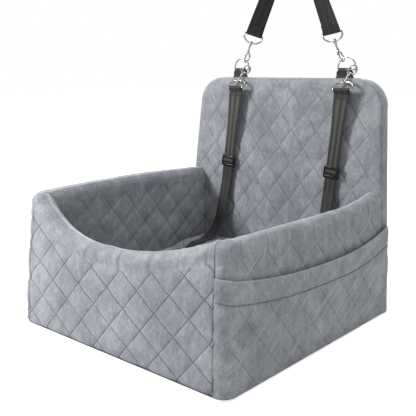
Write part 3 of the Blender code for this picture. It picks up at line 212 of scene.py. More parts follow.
TAB_KNOB_X = -9 * MM
TAB_KNOB = (24.2 * MM, 29.4 * MM)
TAB_NECK_X = -3.6 * MM
TAB_NECK = (23.6 * MM, 30.2 * MM)

# Zip in the backrest's rear
ZIP_LENGTH = 420 * MM
ZIP_END = 12 * MM
ZIP_Z = 70 * MM
ZIP_CHAIN = 5.6 * MM
ZIP_RISE = 2.1 * MM
ZIP_PITCH = 1.65 * MM

# Camera: where it stands and how it is turned, and the lens that gives the photograph's field
CAMERA_PLACE = (0.8533, -0.9895, 0.4954)
CAMERA_TURN = math.radians(40.884)
CAMERA_DOWN = math.radians(11.621)
CAMERA_ROLL = math.radians(0.149)
CAMERA_LENS = 57.47
SENSOR_WIDTH = 36

# Studio: strength of the white surroundings as a light, the floor's own glow, which drowns its shadows, and half
# the floor's side in metres
AMBIENT = 0.34
FLOOR_GLOW = 0.75
FLOOR_HALF = 14.0


def linear(code):
    """Linear colour of an sRGB hex code."""
    parts = [int(code[i:i + 2], 16) / 255 for i in (1, 3, 5)]
    return [p / 12.92 if p <= 0.04045 else ((p + 0.055) / 1.055) ** 2.4 for p in parts]


def node(tree, kind, inputs=(), **settings):
    """Add a shader node: settings are its properties, inputs are values or sockets by socket name or place."""
    made = tree.nodes.new(kind)
    for name, value in settings.items():
        setattr(made, name, value)
    for name, value in dict(inputs).items():
        socket = made.inputs[name]
        if isinstance(value, bpy.types.NodeSocket):
            tree.links.new(value, socket)
        else:
            socket.default_value = value
    return made


def new_material(name, roughness, metallic=0.0, color="#808080"):
    """Principled material with its tree, its shader node and an Object coordinate socket."""
    mat = bpy.data.materials.new(name)
    mat.use_nodes = True
    tree = mat.node_tree
    shader = tree.nodes["Principled BSDF"]
    shader.inputs["Base Color"].default_value = (*linear(color), 1)
    shader.inputs["Roughness"].default_value = roughness
    shader.inputs["Metallic"].default_value = metallic
    place = node(tree, "ShaderNodeTexCoord").outputs["Object"]
    return mat, tree, shader, place


def noise(tree, place, size, detail=2.0, stretch=(1, 1, 1), turn=(0, 0, 0), rough=0.5):
    """Noise whose patches measure about size metres, stretched and turned; its 0 to 1 value."""
    mapped = node(tree, "ShaderNodeMapping", {"Vector": place, "Rotation": turn,
                                              "Scale": [1 / (size * s) for s in stretch]})
    return node(tree, "ShaderNodeTexNoise", {"Vector": mapped.outputs[0], "Scale": 1.0, "Detail": detail,
                                             "Roughness": rough}).outputs["Fac"]


def fit(tree, value, low, high, to_low=0.0, to_high=1.0, soft=False):
    """Map a value from one range to another, clamped."""
    kind = "SMOOTHSTEP" if soft else "LINEAR"
    return node(tree, "ShaderNodeMapRange", {"Value": value, "From Min": low, "From Max": high,
                                             "To Min": to_low, "To Max": to_high},
                interpolation_type=kind).outputs[0]


def maths(tree, kind, first, second=0.0):
    """One Math node's result."""
    return node(tree, "ShaderNodeMath", {0: first, 1: second}, operation=kind).outputs[0]


def blend_color(tree, factor, first, second, mode="MIX"):
    """Mix of two colours, each a hex code or a socket."""
    ends = [c if isinstance(c, bpy.types.NodeSocket) else (*linear(c), 1) for c in (first, second)]
    mixed = node(tree, "ShaderNodeMix", {"Factor": factor}, data_type="RGBA", blend_type=mode)
    for socket, end in zip((mixed.inputs[6], mixed.inputs[7]), ends):
        if isinstance(end, bpy.types.NodeSocket):
            tree.links.new(end, socket)
        else:
            socket.default_value = end
    return mixed.outputs[2]


def bumped(tree, shader, height, distance, strength=1.0):
    """Drive a shader's normal by a height in 0 to 1 that stands for distance metres."""
    bump = node(tree, "ShaderNodeBump", {"Height": height, "Distance": distance, "Strength": strength})
    tree.links.new(bump.outputs[0], shader.inputs["Normal"])


def crushed_velvet():
    """Short-pile polyester velvet, quilted: the pile lies in brushed clouds, light and dark, its edges shine.

    The UV map "quilt" counts the seams of both families, so a seam lies at every whole number: the rising
    seams are tight lines, the falling ones show their stitch holes. One vertex attribute paints highlight, a lighter
    colour on rim crests and on the crests of folds and seam ridges; another paints shade, a darker colour along
    creases, tucks and seam valleys.
    """
    mat, tree, shader, place = new_material("crushed_velvet", 0.86)
    clouds = noise(tree, place, 85 * MM, 3.0, rough=0.6)
    strokes = noise(tree, place, 15 * MM, 4.0, (1, 1, 1.6), (0.35, 0.5, 0), 0.66)
    hairs = noise(tree, place, 5 * MM, 2.0, (0.8, 0.8, 1.5), (0.9, 0.7, 0.4), 0.6)
    flecks = noise(tree, place, 2.6 * MM, 2.0, (1, 1, 1.5), (0.2, 0.4, 0), 0.7)
    shade = maths(tree, "ADD", fit(tree, clouds, 0.32, 0.68, 0.05, 0.27), fit(tree, strokes, 0.30, 0.70, 0.04, 0.30))
    shade = maths(tree, "ADD", shade, fit(tree, hairs, 0.28, 0.72, 0.06, 0.24))
    shade = maths(tree, "ADD", shade, fit(tree, flecks, 0.25, 0.75, 0.05, 0.21))
    low = blend_color(tree, fit(tree, shade, 0.2, 0.57), "#6A6D75", "#8C8F95")
    color = blend_color(tree, fit(tree, shade, 0.57, 0.98), low, "#B6B8BC")
    counts = node(tree, "ShaderNodeSeparateXYZ", {0: node(tree, "ShaderNodeUVMap", uv_map="quilt").outputs[0]})
    quilted = node(tree, "ShaderNodeAttribute", attribute_name="quilted").outputs["Fac"]
    rising, falling = [maths(tree, "PINGPONG", counts.outputs[axis], 0.5) for axis in (0, 1)]
    tight = fit(tree, rising, 0.005, 0.022, 0.75, 0, True)
    holes = maths(tree, "PINGPONG", maths(tree, "MULTIPLY", counts.outputs[0], SEAM_HOLES), 0.5)
    dotted = maths(tree, "MULTIPLY", fit(tree, falling, 0.012, 0.034, 1, 0, True),
                   fit(tree, holes, 0.18, 0.34, 1, 0.08, True))
    seams = maths(tree, "MULTIPLY", maths(tree, "MAXIMUM", tight, dotted), quilted)
    color = blend_color(tree, maths(tree, "MULTIPLY", seams, 0.95), color, "#34363D")
    # Painted shade: a darker colour along creases, tucks, seams and the corner seam valleys, where shade falls
    painted_crease_shade = node(tree, "ShaderNodeAttribute", attribute_name="crease").outputs["Fac"]
    color = blend_color(tree, maths(tree, "MULTIPLY", painted_crease_shade, 0.6), color, "#3E4148")
    # Painted highlight: a lighter pile colour on rim crests and on fold and seam ridges, standing in for light caught
    # there
    pale = node(tree, "ShaderNodeAttribute", attribute_name="pale").outputs["Fac"]
    color = blend_color(tree, maths(tree, "MULTIPLY", pale, 0.8), color, "#CDCFD3")
    tree.links.new(color, shader.inputs["Base Color"])
    shader.inputs["Sheen Weight"].default_value = 0.55
    shader.inputs["Sheen Roughness"].default_value = 0.38
    shader.inputs["Sheen Tint"].default_value = (*linear("#DADCE2"), 1)
    shader.inputs["Specular IOR Level"].default_value = 0.25
    pile = maths(tree, "ADD", maths(tree, "MULTIPLY", strokes, 0.6), maths(tree, "MULTIPLY", flecks, 0.6))
    pile = maths(tree, "ADD", pile, maths(tree, "MULTIPLY", hairs, 0.4))
    pile = maths(tree, "SUBTRACT", pile, maths(tree, "MULTIPLY", seams, 0.8))
    bumped(tree, shader, pile, 1.3 * MM, 0.6)
    return mat


def lens_turn():
    """Camera's world matrix from its place, its turn round the seat, its look down and its roll."""
    back = Vector((math.sin(CAMERA_TURN) * math.cos(CAMERA_DOWN),
                   -math.cos(CAMERA_TURN) * math.cos(CAMERA_DOWN), math.sin(CAMERA_DOWN)))
    level = Vector((math.cos(CAMERA_TURN), math.sin(CAMERA_TURN), 0))
    upward = back.cross(level)
    right = level * math.cos(CAMERA_ROLL) + upward * math.sin(CAMERA_ROLL)
    up = upward * math.cos(CAMERA_ROLL) - level * math.sin(CAMERA_ROLL)
    return Matrix.Translation(CAMERA_PLACE) @ Matrix((right, up, back)).transposed().to_4x4()


def make_stage():
    """Camera, white floor, pale surroundings and soft lamps."""
    lens = bpy.data.cameras.new("camera")
    lens.lens = CAMERA_LENS
    lens.sensor_width = SENSOR_WIDTH
    lens.clip_start = 0.05
    camera = bpy.data.objects.new("camera", lens)
    camera.matrix_world = lens_turn()
    bpy.context.scene.collection.objects.link(camera)
    bpy.context.scene.camera = camera
    bpy.context.scene.view_settings.view_transform = "Standard"

    # The surroundings are white to the camera and light the seat with less than that
    world = bpy.data.worlds.new("studio")
    bpy.context.scene.world = world
    world.use_nodes = True
    back = world.node_tree.nodes["Background"]
    back.inputs["Color"].default_value = (1, 1, 1, 1)
    seen = node(world.node_tree, "ShaderNodeLightPath").outputs["Is Camera Ray"]
    world.node_tree.links.new(fit(world.node_tree, seen, 0, 1, AMBIENT, 1), back.inputs["Strength"])

    half = FLOOR_HALF
    floor = bpy.data.meshes.new("floor")
    floor.from_pydata([(-half, -half, 0), (half, -half, 0), (half, half, 0), (-half, half, 0)], [],
                      [(0, 1, 2, 3)])
    obj = bpy.data.objects.new("floor", floor)
    bpy.context.scene.collection.objects.link(obj)
    mat, tree, shader, place = new_material("white_floor", 0.9, color="#E9E9EA")
    shader.inputs["Specular IOR Level"].default_value = 0.1
    shader.inputs["Emission Color"].default_value = (1, 1, 1, 1)
    seen = node(tree, "ShaderNodeLightPath").outputs["Is Camera Ray"]
    tree.links.new(fit(tree, seen, 0, 1, 0, FLOOR_GLOW), shader.inputs["Emission Strength"])
    floor.materials.append(mat)

    lamps = (("key", (-0.85, -0.95, 1.0), 0.4, 22), ("front", (0.3, -2.6, 1.2), 1.6, 2),
             ("side", (2.7, -0.4, 1.2), 1.6, 12.5), ("top", (0.1, 0.5, 2.4), 1.2, 20),
             ("rear", (-0.7, 2.3, 1.9), 1.6, 24))
    for name, place, size, power in lamps:
        light = bpy.data.lights.new(name, "AREA")
        light.shape = "DISK"
        light.size = size
        light.energy = power
        lamp = bpy.data.objects.new(name, light)
        lamp.location = place
        lamp.rotation_euler = (Vector((0, 0, 0.2)) - Vector(place)).to_track_quat("-Z", "Y").to_euler()
        bpy.context.scene.collection.objects.link(lamp)


def step_curve(value, low, high):
    """Smooth step: 0 below low, 1 above high."""
    share = np.clip((value - low) / (high - low), 0, 1)
    return share * share * (3 - 2 * share)


def drift(across, along, size, seed):
    """Smooth chance field from -1 to 1: seeded values on a square lattice of the given size, joined smoothly."""
    table = np.random.default_rng(seed).uniform(-1, 1, (64, 64))
    a, b = across / size, along / size
    i, j = np.floor(a).astype(int), np.floor(b).astype(int)
    s, t = step_curve(a - i, 0, 1), step_curve(b - j, 0, 1)
    near = table[i % 64, j % 64] * (1 - s) + table[(i + 1) % 64, j % 64] * s
    far = table[i % 64, (j + 1) % 64] * (1 - s) + table[(i + 1) % 64, (j + 1) % 64] * s
    return near * (1 - t) + far * t


def seam_counts(quilt, across, along):
    """Number of seams of each family passed on the way to a place: whole numbers lie on seams."""
    rise, wide, start = quilt["rise"]
    fall, tall, begin = quilt["fall"]
    return (across - along / rise - start) / wide, (across + along / fall - begin) / tall


def seam_dent(quilt, across, along):
    """Depth of the quilting: each seam is a valley that fades out exponentially to both sides."""
    rising, falling = seam_counts(quilt, across, along)
    flat = np.ones_like(rising)
    for count, (slope, wide, _) in ((rising, quilt["rise"]), (falling, quilt["fall"])):
        away = np.abs(count - np.round(count)) * wide * slope / math.hypot(1, slope)
        flat = flat * (1 - np.exp(-away / SEAM_REACH))
    return SEAM_DEPTH * (1 - flat)


def seam_ridges(quilt, across, along, seed):
    """Ridges exp(-(d / 2.2 mm)^2) that follow the rising seams, their strength a chance field."""
    slope, wide, _ = quilt["rise"]
    count = seam_counts(quilt, across, along)[0] + 0.05 * drift(across, along, 25 * MM, seed + 1) + 0.03
    away = (count - np.round(count)) * wide * slope / math.hypot(1, slope)
    return np.exp(-(away / (2.2 * MM)) ** 2) * np.clip(0.6 + 0.6 * drift(across, along, 33 * MM, seed), 0, 1)


def finish_mesh(name, points, faces, mat, uv=None, marks=None, weld=0.0):
    """Object from arrays: faces turned outwards by the sign of the volume, UV counts and vertex marks set."""
    corners = [np.asarray(f, int) for f in faces if len(f)]
    first = np.concatenate([f[:, :3] for f in corners])
    rest = [f[:, [0, 2, 3]] for f in corners if f.shape[1] == 4]
    tris = np.concatenate([first] + rest)
    a, b, c = points[tris[:, 0]], points[tris[:, 1]], points[tris[:, 2]]
    if np.einsum("ij,ij->", a, np.cross(b, c)) < 0:
        corners = [f[:, ::-1] for f in corners]
    mesh = bpy.data.meshes.new(name)
    mesh.from_pydata(points.tolist(), [], [row for f in corners for row in f.tolist()])
    if uv is not None:
        layer = mesh.uv_layers.new(name="quilt")
        loops = np.zeros(len(mesh.loops), int)
        mesh.loops.foreach_get("vertex_index", loops)
        layer.data.foreach_set("uv", uv[loops].astype(np.float32).ravel())
    for label, values in (marks or {}).items():
        layer = mesh.attributes.new(label, "FLOAT", "POINT")
        layer.data.foreach_set("value", values.astype(np.float32))
    if weld:
        bm = bmesh.new()
        bm.from_mesh(mesh)
        bmesh.ops.remove_doubles(bm, verts=bm.verts, dist=weld)
        bmesh.ops.dissolve_degenerate(bm, edges=bm.edges, dist=weld)
        bm.to_mesh(mesh)
        bm.free()
    mesh.shade_smooth()
    mesh.materials.append(mat)
    obj = bpy.data.objects.new(name, mesh)
    bpy.context.scene.collection.objects.link(obj)
    return obj


def ring_faces(rows, count):
    """Faces of a body through rows of count points each; both ends close in a fan round an added middle."""
    index = np.arange(rows * count).reshape(rows, count)
    ahead = np.roll(index, -1, axis=1)
    quads = np.stack([index[:-1], index[1:], ahead[1:], ahead[:-1]], -1).reshape(-1, 4)
    low, high = rows * count, rows * count + 1
    fans = [np.stack([np.full(count, low), index[0], ahead[0]], -1),
            np.stack([np.full(count, high), ahead[-1], index[-1]], -1)]
    return [quads] + fans


def with_middles(values, rows, count):
    """Append the mean of the first and of the last row."""
    return np.concatenate([values, values[:count].mean(0, keepdims=True),
                           values[(rows - 1) * count:].mean(0, keepdims=True)])


def closed_body(name, points, counts, marks, mat, weld=0.0):
    """Velvet body through rows of points, with its seam counts and vertex marks."""
    rows, columns = points.shape[:2]
    extra = {label: with_middles(values.reshape(-1, 1), rows, columns)[:, 0] for label, values in marks.items()}
    return finish_mesh(name, with_middles(points.reshape(-1, 3), rows, columns), ring_faces(rows, columns), mat,
                       with_middles(counts.reshape(-1, 2), rows, columns), extra, weld)


def lean_in(x, y, z):
    """Place of an outer plan point at a height: sides and front draw in with height."""
    side = x * (1 - SIDE_LEAN * np.minimum(z / LEAN_HEIGHT, 1) / BODY_HALF)
    along = np.maximum(WALL_REAR_Y - y, 0) / (WALL_REAR_Y - FRONT_Y)
    return side, y + FRONT_LEAN * z / LEAN_HEIGHT * along


def left_crest(share):
    """Height of the left rim."""
    return LEFT_CREST + LEFT_BOW * (1 - (2 * share - 1) ** 2)


def right_crest(share):
    """Height of the right rim: two parabolas that meet at its lowest place."""
    front = RIGHT_FRONT_RISE * np.maximum(1 - share / RIGHT_LOW_SHARE, 0) ** 2
    rear = RIGHT_REAR_RISE * np.maximum((share - RIGHT_LOW_SHARE) / (1 - RIGHT_LOW_SHARE), 0) ** 2
    return RIGHT_CREST + front + rear


def entry_crest(x):
    """Height of the front rim: a scoop with its own power on either side of its lowest place."""
    left = np.maximum(ENTRY_OFFSET - x, 0) / (SEAM_X + ENTRY_OFFSET)
    right = np.maximum(x - ENTRY_OFFSET, 0) / (SEAM_X - ENTRY_OFFSET)
    return (ENTRY_CREST + (left_crest(0) - ENTRY_CREST) * left ** ENTRY_LEFT_POWER
            + (right_crest(0) - ENTRY_CREST) * right ** ENTRY_RIGHT_POWER)


ARC = CORNER_RADIUS * math.pi / 2
SIDE_LENGTH = ARC + WALL_REAR_Y - (FRONT_Y + CORNER_RADIUS)


def side_plan(length, sign):
    """Outer and inner plan points of a side wall at a length from its front seam."""
    turn = np.clip(length, 0, ARC) / CORNER_RADIUS
    outer = (sign * (BODY_HALF - CORNER_RADIUS + CORNER_RADIUS * np.sin(turn)),
             FRONT_Y + CORNER_RADIUS - CORNER_RADIUS * np.cos(turn) + np.maximum(length - ARC, 0))
    share = np.minimum(length / SIDE_LENGTH, 1)
    inner_y = CABIN_FRONT_Y + (WALL_REAR_Y - CABIN_FRONT_Y) * share
    inner_y = np.where(length > SIDE_LENGTH, outer[1], inner_y)
    return outer, (np.full_like(length, sign * CABIN_HALF), inner_y)


class Wall:
    """A stuffed wall as a surface of two values: the length along it and the height on its outer face."""

    def __init__(self, name, plan, crest, length, quilt, seed):
        self.name, self.plan, self.crest = name, plan, crest
        self.ends, self.quilt, self.seed = length, quilt, seed
        self.outer_mark, self.inner_mark = (1.0, 0.6) if name == "front" else (0.65, 0.6)

    def frame_at(self, length, z):
        """Outer base point, inner base point and inward direction at a length and a height."""
        outer, inner = self.plan(length)
        x, y = lean_in(outer[0], outer[1], z)
        base = np.stack([x, y], -1)
        far = np.stack(inner, -1)
        span = np.linalg.norm(far - base, axis=-1, keepdims=True)
        return base, far, (far - base) / span

    def corner_dent(self, length):
        """Valley beside the sewn front corner."""
        away = np.minimum(np.abs(length - self.ends[0]),
                          np.abs(length - self.ends[1]) if self.name == "front" else 1.0)
        return 1.3 * MM * np.exp(-away / (2.6 * MM))

    def tucks(self, length):
        """Small tucks across the rim band: each goes on from the end of a falling seam."""
        count = seam_counts(self.quilt, length, self.crest(length) - RIM_BAND)[1]
        return np.exp(-((count - np.round(count)) * self.quilt["fall"][1] / (2.4 * MM)) ** 2)

    def ridges(self, length, z, seed):
        """Ridges along the rising seams, here more and there less, where the walls get painted highlight."""
        return seam_ridges(self.quilt, length, z, seed)

    def outer_dent(self, length, z):
        """Dent of the outer face: quilting below the rim band, a crease under the band and soft ripples."""
        top = self.crest(length)
        band = top - RIM_BAND
        fade = step_curve(band - z, 0, BAND_FADE)
        dent = seam_dent(self.quilt, length, z) * fade
        dent = dent + 1.5 * MM * np.exp(-((z - band) / (4 * MM)) ** 2) * (0.7 + 0.5 * drift(length, z, 40 * MM, 5))
        dent = dent + 1.3 * MM * self.tucks(length) * step_curve(z, band - 8 * MM, band)
        ripple = drift(length, z, 46 * MM, self.seed) * 1.1 * MM + drift(length, z, 17 * MM, self.seed + 1) * 0.5 * MM
        bulge = WALL_CROWN * np.sin(math.pi * np.clip((z - FLOOR) / (top - FLOOR), 0, 1))
        edge = np.sin(math.pi * np.clip(z / top, 0, 1)) ** 0.5
        return dent + self.corner_dent(length) - ripple * edge - bulge, fade

    def grid(self):
        """All sections: foot, outer face, rim, inner face; with seam counts, quilting marks, painted shade and
        painted highlight.
        """
        count = int((self.ends[1] - self.ends[0]) / FINE_STEP)
        length = np.linspace(*self.ends, count)[:, None]
        crest = self.crest(length)
        top = crest - RIM_RISE
        levels = np.linspace(0, 1, 96)[None, :]
        low = FLOOR + FOOT_ROUND
        z_out = low + (top - low) * levels
        turn = np.linspace(0, math.pi, 30)[None, 1:-1]
        z_in = top + (FLOOR - top) * np.linspace(0, 1, 64)[None, :] ** 1.15
        full = np.ones_like(length)

        base, _, way = self.frame_at(length * np.ones_like(z_out), z_out)
        dent, fade = self.outer_dent(length * np.ones_like(z_out), z_out)
        outer = base + way * dent[..., None]
        foot_turn = np.linspace(0, math.pi / 2, 6)[None, :-1]
        foot_z = low - FOOT_ROUND * np.cos(foot_turn) * full
        foot_in = FOOT_ROUND * (1 - np.sin(foot_turn)) * full
        foot = outer[:, :1] + way[:, :1] * foot_in[..., None]

        _, inner_far, inner_way = self.frame_at(length * np.ones_like(z_in), z_in)
        inner_fade = step_curve(crest - RIM_BAND - z_in, 0, BAND_FADE)
        inner_dent = seam_dent(self.quilt, length + INNER_SHIFT, z_in) * inner_fade
        inner_dent = inner_dent - drift(length + z_in * 0, z_in + 0.4, 38 * MM, self.seed + 5) * 1.2 * MM * np.sin(
            math.pi * np.clip(z_in / top, 0, 1)) ** 0.5
        inner = inner_far - inner_way * inner_dent[..., None]

        high_out, high_in = outer[:, -1:], inner[:, :1]
        middle = (high_out + high_in) / 2
        rim = middle + (high_out - middle) * np.cos(turn)[..., None]
        wave = drift(length + 0 * turn, turn * 20 * MM + 0 * length, 22 * MM, self.seed + 9) * 0.7 * MM
        ends = np.minimum(length - self.ends[0], self.ends[1] - length if self.name == "front" else 1.0)
        pucker = drift(length + 0 * turn, turn * 20 * MM + 0 * length, 7 * MM, self.seed + 13)
        wave = wave + pucker * (0.25 * MM + 1.1 * MM * np.exp(-ends / (26 * MM)))
        wave = wave - 1.0 * MM * self.tucks(length) * np.maximum(np.cos(turn), 0)
        rim_z = top + (RIM_RISE + wave - 0.5 * self.corner_dent(length)) * np.sin(turn)
        parts = [(foot, foot_z), (outer, z_out), (rim, rim_z), (inner, z_in)]
        points = np.concatenate([np.concatenate([p, z[..., None]], -1) for p, z in parts], 1)
        rows, columns = points.shape[:2]
        across = np.broadcast_to(length, (rows, columns))
        shift = np.concatenate([np.zeros(columns - z_in.shape[1]), np.full(z_in.shape[1], INNER_SHIFT)])
        counts = np.stack(seam_counts(self.quilt, across + shift, points[..., 2]), -1)
        marks = np.concatenate([self.outer_mark * fade[:, :1] * np.ones_like(foot_z), self.outer_mark * fade,
                                np.zeros_like(rim_z), self.inner_mark * inner_fade], 1)
        # Painted shade along the corner seams, under and across the rim band's tucks and, on the left wall, along a
        # seam on the rim
        left, right = length - self.ends[0], self.ends[1] - length
        near = {"front": np.maximum(0.4 * np.exp(-left / CORNER_SHADE_REACH), np.exp(-right / CORNER_SHADE_REACH)),
                "right": np.exp(-left / CORNER_SHADE_REACH), "left": 0.4 * np.exp(-left / CORNER_SHADE_REACH)}[self.name]
        high = 1 - 0.5 * step_curve(z_out - crest, -60 * MM, -RIM_RISE)
        over = np.concatenate([np.ones_like(foot_z), high, 0.5 - 0.4 * step_curve(turn, 0, 0.8) * full,
                               0.35 * np.ones_like(z_in)], 1)
        crease = near * over
        rim = slice(foot_z.shape[1] + z_out.shape[1], columns - z_in.shape[1])
        patchy = 0.75 + 0.35 * drift(length, 0 * length, 13 * MM, self.seed + 21)
        # Painted highlight: a thin light line along the rim's crest, and light along the seam ridges of the inner
        # face and of the right wall's outer face
        pale = np.zeros((rows, columns))
        if self.name == "left":
            crease[:, rim] = np.maximum(crease[:, rim], 0.95 * np.exp(-((turn - 2.15) / 0.12) ** 2) * patchy)
        pale[:, rim] = np.exp(-((turn - 1.9) / 0.2) ** 2) * patchy * (0.35 if self.name == "left" else 1)
        band = z_out - (crest - RIM_BAND)
        tuck = self.tucks(length) * 0.45
        crease[:, foot_z.shape[1]:rim.start] += tuck * step_curve(band, -8 * MM, 0)
        crease[:, rim] += tuck * (1 - step_curve(turn, 0.3, 1.4))
        pale[:, rim.stop:] = 0.3 * self.ridges(length, z_in, 47) * inner_fade
        if self.name == "right":
            pale[:, foot_z.shape[1]:rim.start] = 0.5 * self.ridges(length, z_out, 41) * fade
        return points, counts, marks, crease, pale

    def build(self, mat):
        """Closed body of the wall."""
        points, counts, marks, crease, pale = self.grid()
        marks = {"quilted": marks, "crease": crease, "pale": pale}
        return closed_body("wall_" + self.name, points, counts, marks, mat)


def make_walls(mat):
    """Front, right and left walls, which stand for their covers and the foam in them."""
    half_gap = CLEAR / 2 / math.sin(math.atan2(FRONT_WALL, SEAM_X - CABIN_HALF))
    end = SEAM_X - half_gap
    walls = {
        "front": Wall("front", lambda s: ((s, np.full_like(s, FRONT_Y)),
                                          (s * CABIN_HALF / SEAM_X, np.full_like(s, CABIN_FRONT_Y))),
                      entry_crest, (-end, end), FRONT_QUILT, 11),
        "right": Wall("right", lambda s: side_plan(s, 1), lambda s: right_crest(s / SIDE_LENGTH),
                      (half_gap, SIDE_LENGTH), SIDE_QUILT, 23),
        "left": Wall("left", lambda s: side_plan(s, -1), lambda s: left_crest(s / SIDE_LENGTH),
                     (half_gap, SIDE_LENGTH), SIDE_QUILT, 37),
    }
    for name, wall in walls.items():
        obj = wall.build(mat)
        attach(obj, "root")
        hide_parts("cover_" + name, "foam_" + name)


def back_half(z):
    """Half width of the backrest at a height."""
    above = np.clip((z - LEAN_HEIGHT) / (BACK_TOP - LEAN_HEIGHT), 0, 1)
    half = BODY_HALF - SIDE_LEAN * np.minimum(z / LEAN_HEIGHT, 1) - BACK_TAPER * above
    over = np.clip(z - (BACK_TOP - BACK_CORNER), 0, BACK_CORNER)
    return half - (BACK_CORNER - np.sqrt(np.maximum(BACK_CORNER ** 2 - over ** 2, 0)))


def back_offset(z):
    """How far the backrest's middle lies behind its foot at a height."""
    return math.tan(BACK_LEAN) * np.maximum(z - BACK_BEND_Z, 0)


def edge_swell(margin):
    """Share of the pad's half thickness at a distance from its edge: a quarter round over a flat side."""
    share = np.clip(margin / BACK_ROUND, 0, 1)
    return BACK_SIDE_SHARE + (1 - BACK_SIDE_SHARE) * np.sqrt(1 - (1 - share) ** 2)


def back_margin(x, z):
    """Distance from a place on the backrest to its outline, measured across or up, round at the corners."""
    corner_x = back_half(np.full_like(z, BACK_TOP - BACK_CORNER)) - BACK_CORNER
    over_x, over_z = np.abs(x) - corner_x, z - (BACK_TOP - BACK_CORNER)
    round_margin = BACK_CORNER - np.hypot(np.maximum(over_x, 0), np.maximum(over_z, 0))
    straight = np.minimum(back_half(np.minimum(z, BACK_TOP - BACK_CORNER)) - np.abs(x), BACK_TOP - z)
    return np.where((over_x > 0) & (over_z > 0), round_margin, straight)


def back_front(x, z):
    """Point of the backrest's quilted face: the pad's round edge, the quilting and soft ripples."""
    margin = back_margin(x, z)
    fade = step_curve(margin, 12 * MM, 30 * MM)
    dent = seam_dent(BACK_QUILT, x, z) * fade
    ripple = (drift(x, z, 52 * MM, 71) * 1.3 + drift(x, z, 19 * MM, 72) * 0.5) * MM * step_curve(margin, 0, 30 * MM)
    y = BACK_MID_Y + back_offset(z) - BACK_THICK / 2 * edge_swell(margin) + dent + ripple
    return np.stack([x, y, z], -1), fade


def make_backrest(mat):
    """Backrest pad: quilted face, boxed edge strip with a seam on either side, plain back.

    Rows climb from the floor to the top; each ring runs across the face, round one edge, back across the
    rear and round the other edge. Past the top the rings close to a line.
    """
    turns = np.linspace(0, math.pi / 2, 26)
    corner_z = BACK_TOP - BACK_CORNER + BACK_CORNER * np.sin(turns)
    low_z = np.linspace(FLOOR, corner_z[0], 188)
    z = np.concatenate([low_z, corner_z[1:]])[:, None]
    half = back_half(z)
    spread = np.linspace(-1, 1, 230)[None, :]
    rounded = np.sign(spread) * (1 - (1 - np.abs(spread)) ** 1.12)
    front_x = half * rounded
    face, fade = back_front(front_x, z * np.ones_like(front_x))
    rear_x = half * np.linspace(1, -1, 80)[None, :]
    rear_margin = back_margin(rear_x, z * np.ones_like(rear_x))
    rear_y = BACK_MID_Y + back_offset(z) + BACK_THICK / 2 * edge_swell(rear_margin)
    ripple = drift(rear_x, z + 0 * rear_x, 60 * MM, 75) * 0.8 * MM * step_curve(rear_margin, 0, 25 * MM)
    rear_y = rear_y - (ripple + 0.8 * MM * step_curve(rear_margin, 0, 20 * MM))
    rear = np.stack([rear_x, rear_y, z * np.ones_like(rear_x)], -1)
    bow = np.linspace(0, 1, 12)[None, 1:-1]
    strips = []
    for start, end, sign in ((face[:, -1:], rear[:, :1], 1), (rear[:, -1:], face[:, :1], -1)):
        strip = start + (end - start) * bow[..., None]
        strip[..., 0] += sign * GUSSET_SWELL * np.sin(math.pi * bow)
        strips.append(strip)
    ring = np.concatenate([face, strips[0], rear, strips[1]], 1)
    middle = ring[-1].copy()
    middle[:, 1] = BACK_MID_Y + back_offset(BACK_TOP)
    closing = []
    for share in np.linspace(0, 1, 8)[1:]:
        layer = ring[-1] + (middle - ring[-1]) * share
        layer[:, 2] += GUSSET_SWELL * math.sin(math.pi / 2 * share)
        closing.append(layer)
    points = np.concatenate([ring, np.stack(closing)], 0)
    rows, columns = points.shape[:2]
    counts = np.stack(seam_counts(BACK_QUILT, points[..., 0], points[..., 2]), -1)
    marks = np.zeros((rows, columns))
    marks[:len(z), :face.shape[1]] = fade * BACK_MARK
    # Painted shade along the seams at the edges and the top of the quilted face
    seam = np.minimum(np.arange(columns), np.abs(np.arange(columns) - face.shape[1] + 1))
    crease = np.tile(np.where(seam == 0, 0.5, 0.0), (rows, 1))
    crease[len(z) - 1, :face.shape[1]] = 0.5
    obj = closed_body("backrest", points, counts, {"quilted": marks, "crease": crease}, mat, 0.01 * MM)
    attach(obj, "root")
    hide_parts("cover_backrest", "foam_backrest")


def cushion_edges():
    """Half width and the front and rear limits of the cushion."""
    return CABIN_HALF - CUSHION_GAP, CABIN_FRONT_Y + CUSHION_GAP, BACK_FRONT_Y - CUSHION_GAP


def cushion_top(x, y):
    """Height of the cushion's crowned top: the root of a product of two cosines over its flat side height.

    Its rear corners are pushed up against the backrest.
    """
    half, front, rear = cushion_edges()
    middle = (front + rear) / 2
    across = np.cos(math.pi / 2 * np.minimum(np.abs(x) / half, 1))
    along = np.cos(math.pi / 2 * np.minimum(np.abs(y - middle) / (rear - middle), 1))
    pushed = CUSHION_PUSH * step_curve(y, 84 * MM, 130 * MM) * step_curve(np.abs(x), 60 * MM, 120 * MM)
    return CUSHION_FLOOR + CUSHION_SIDE + CUSHION_CROWN * np.sqrt(np.maximum(across * along, 0)) + pushed


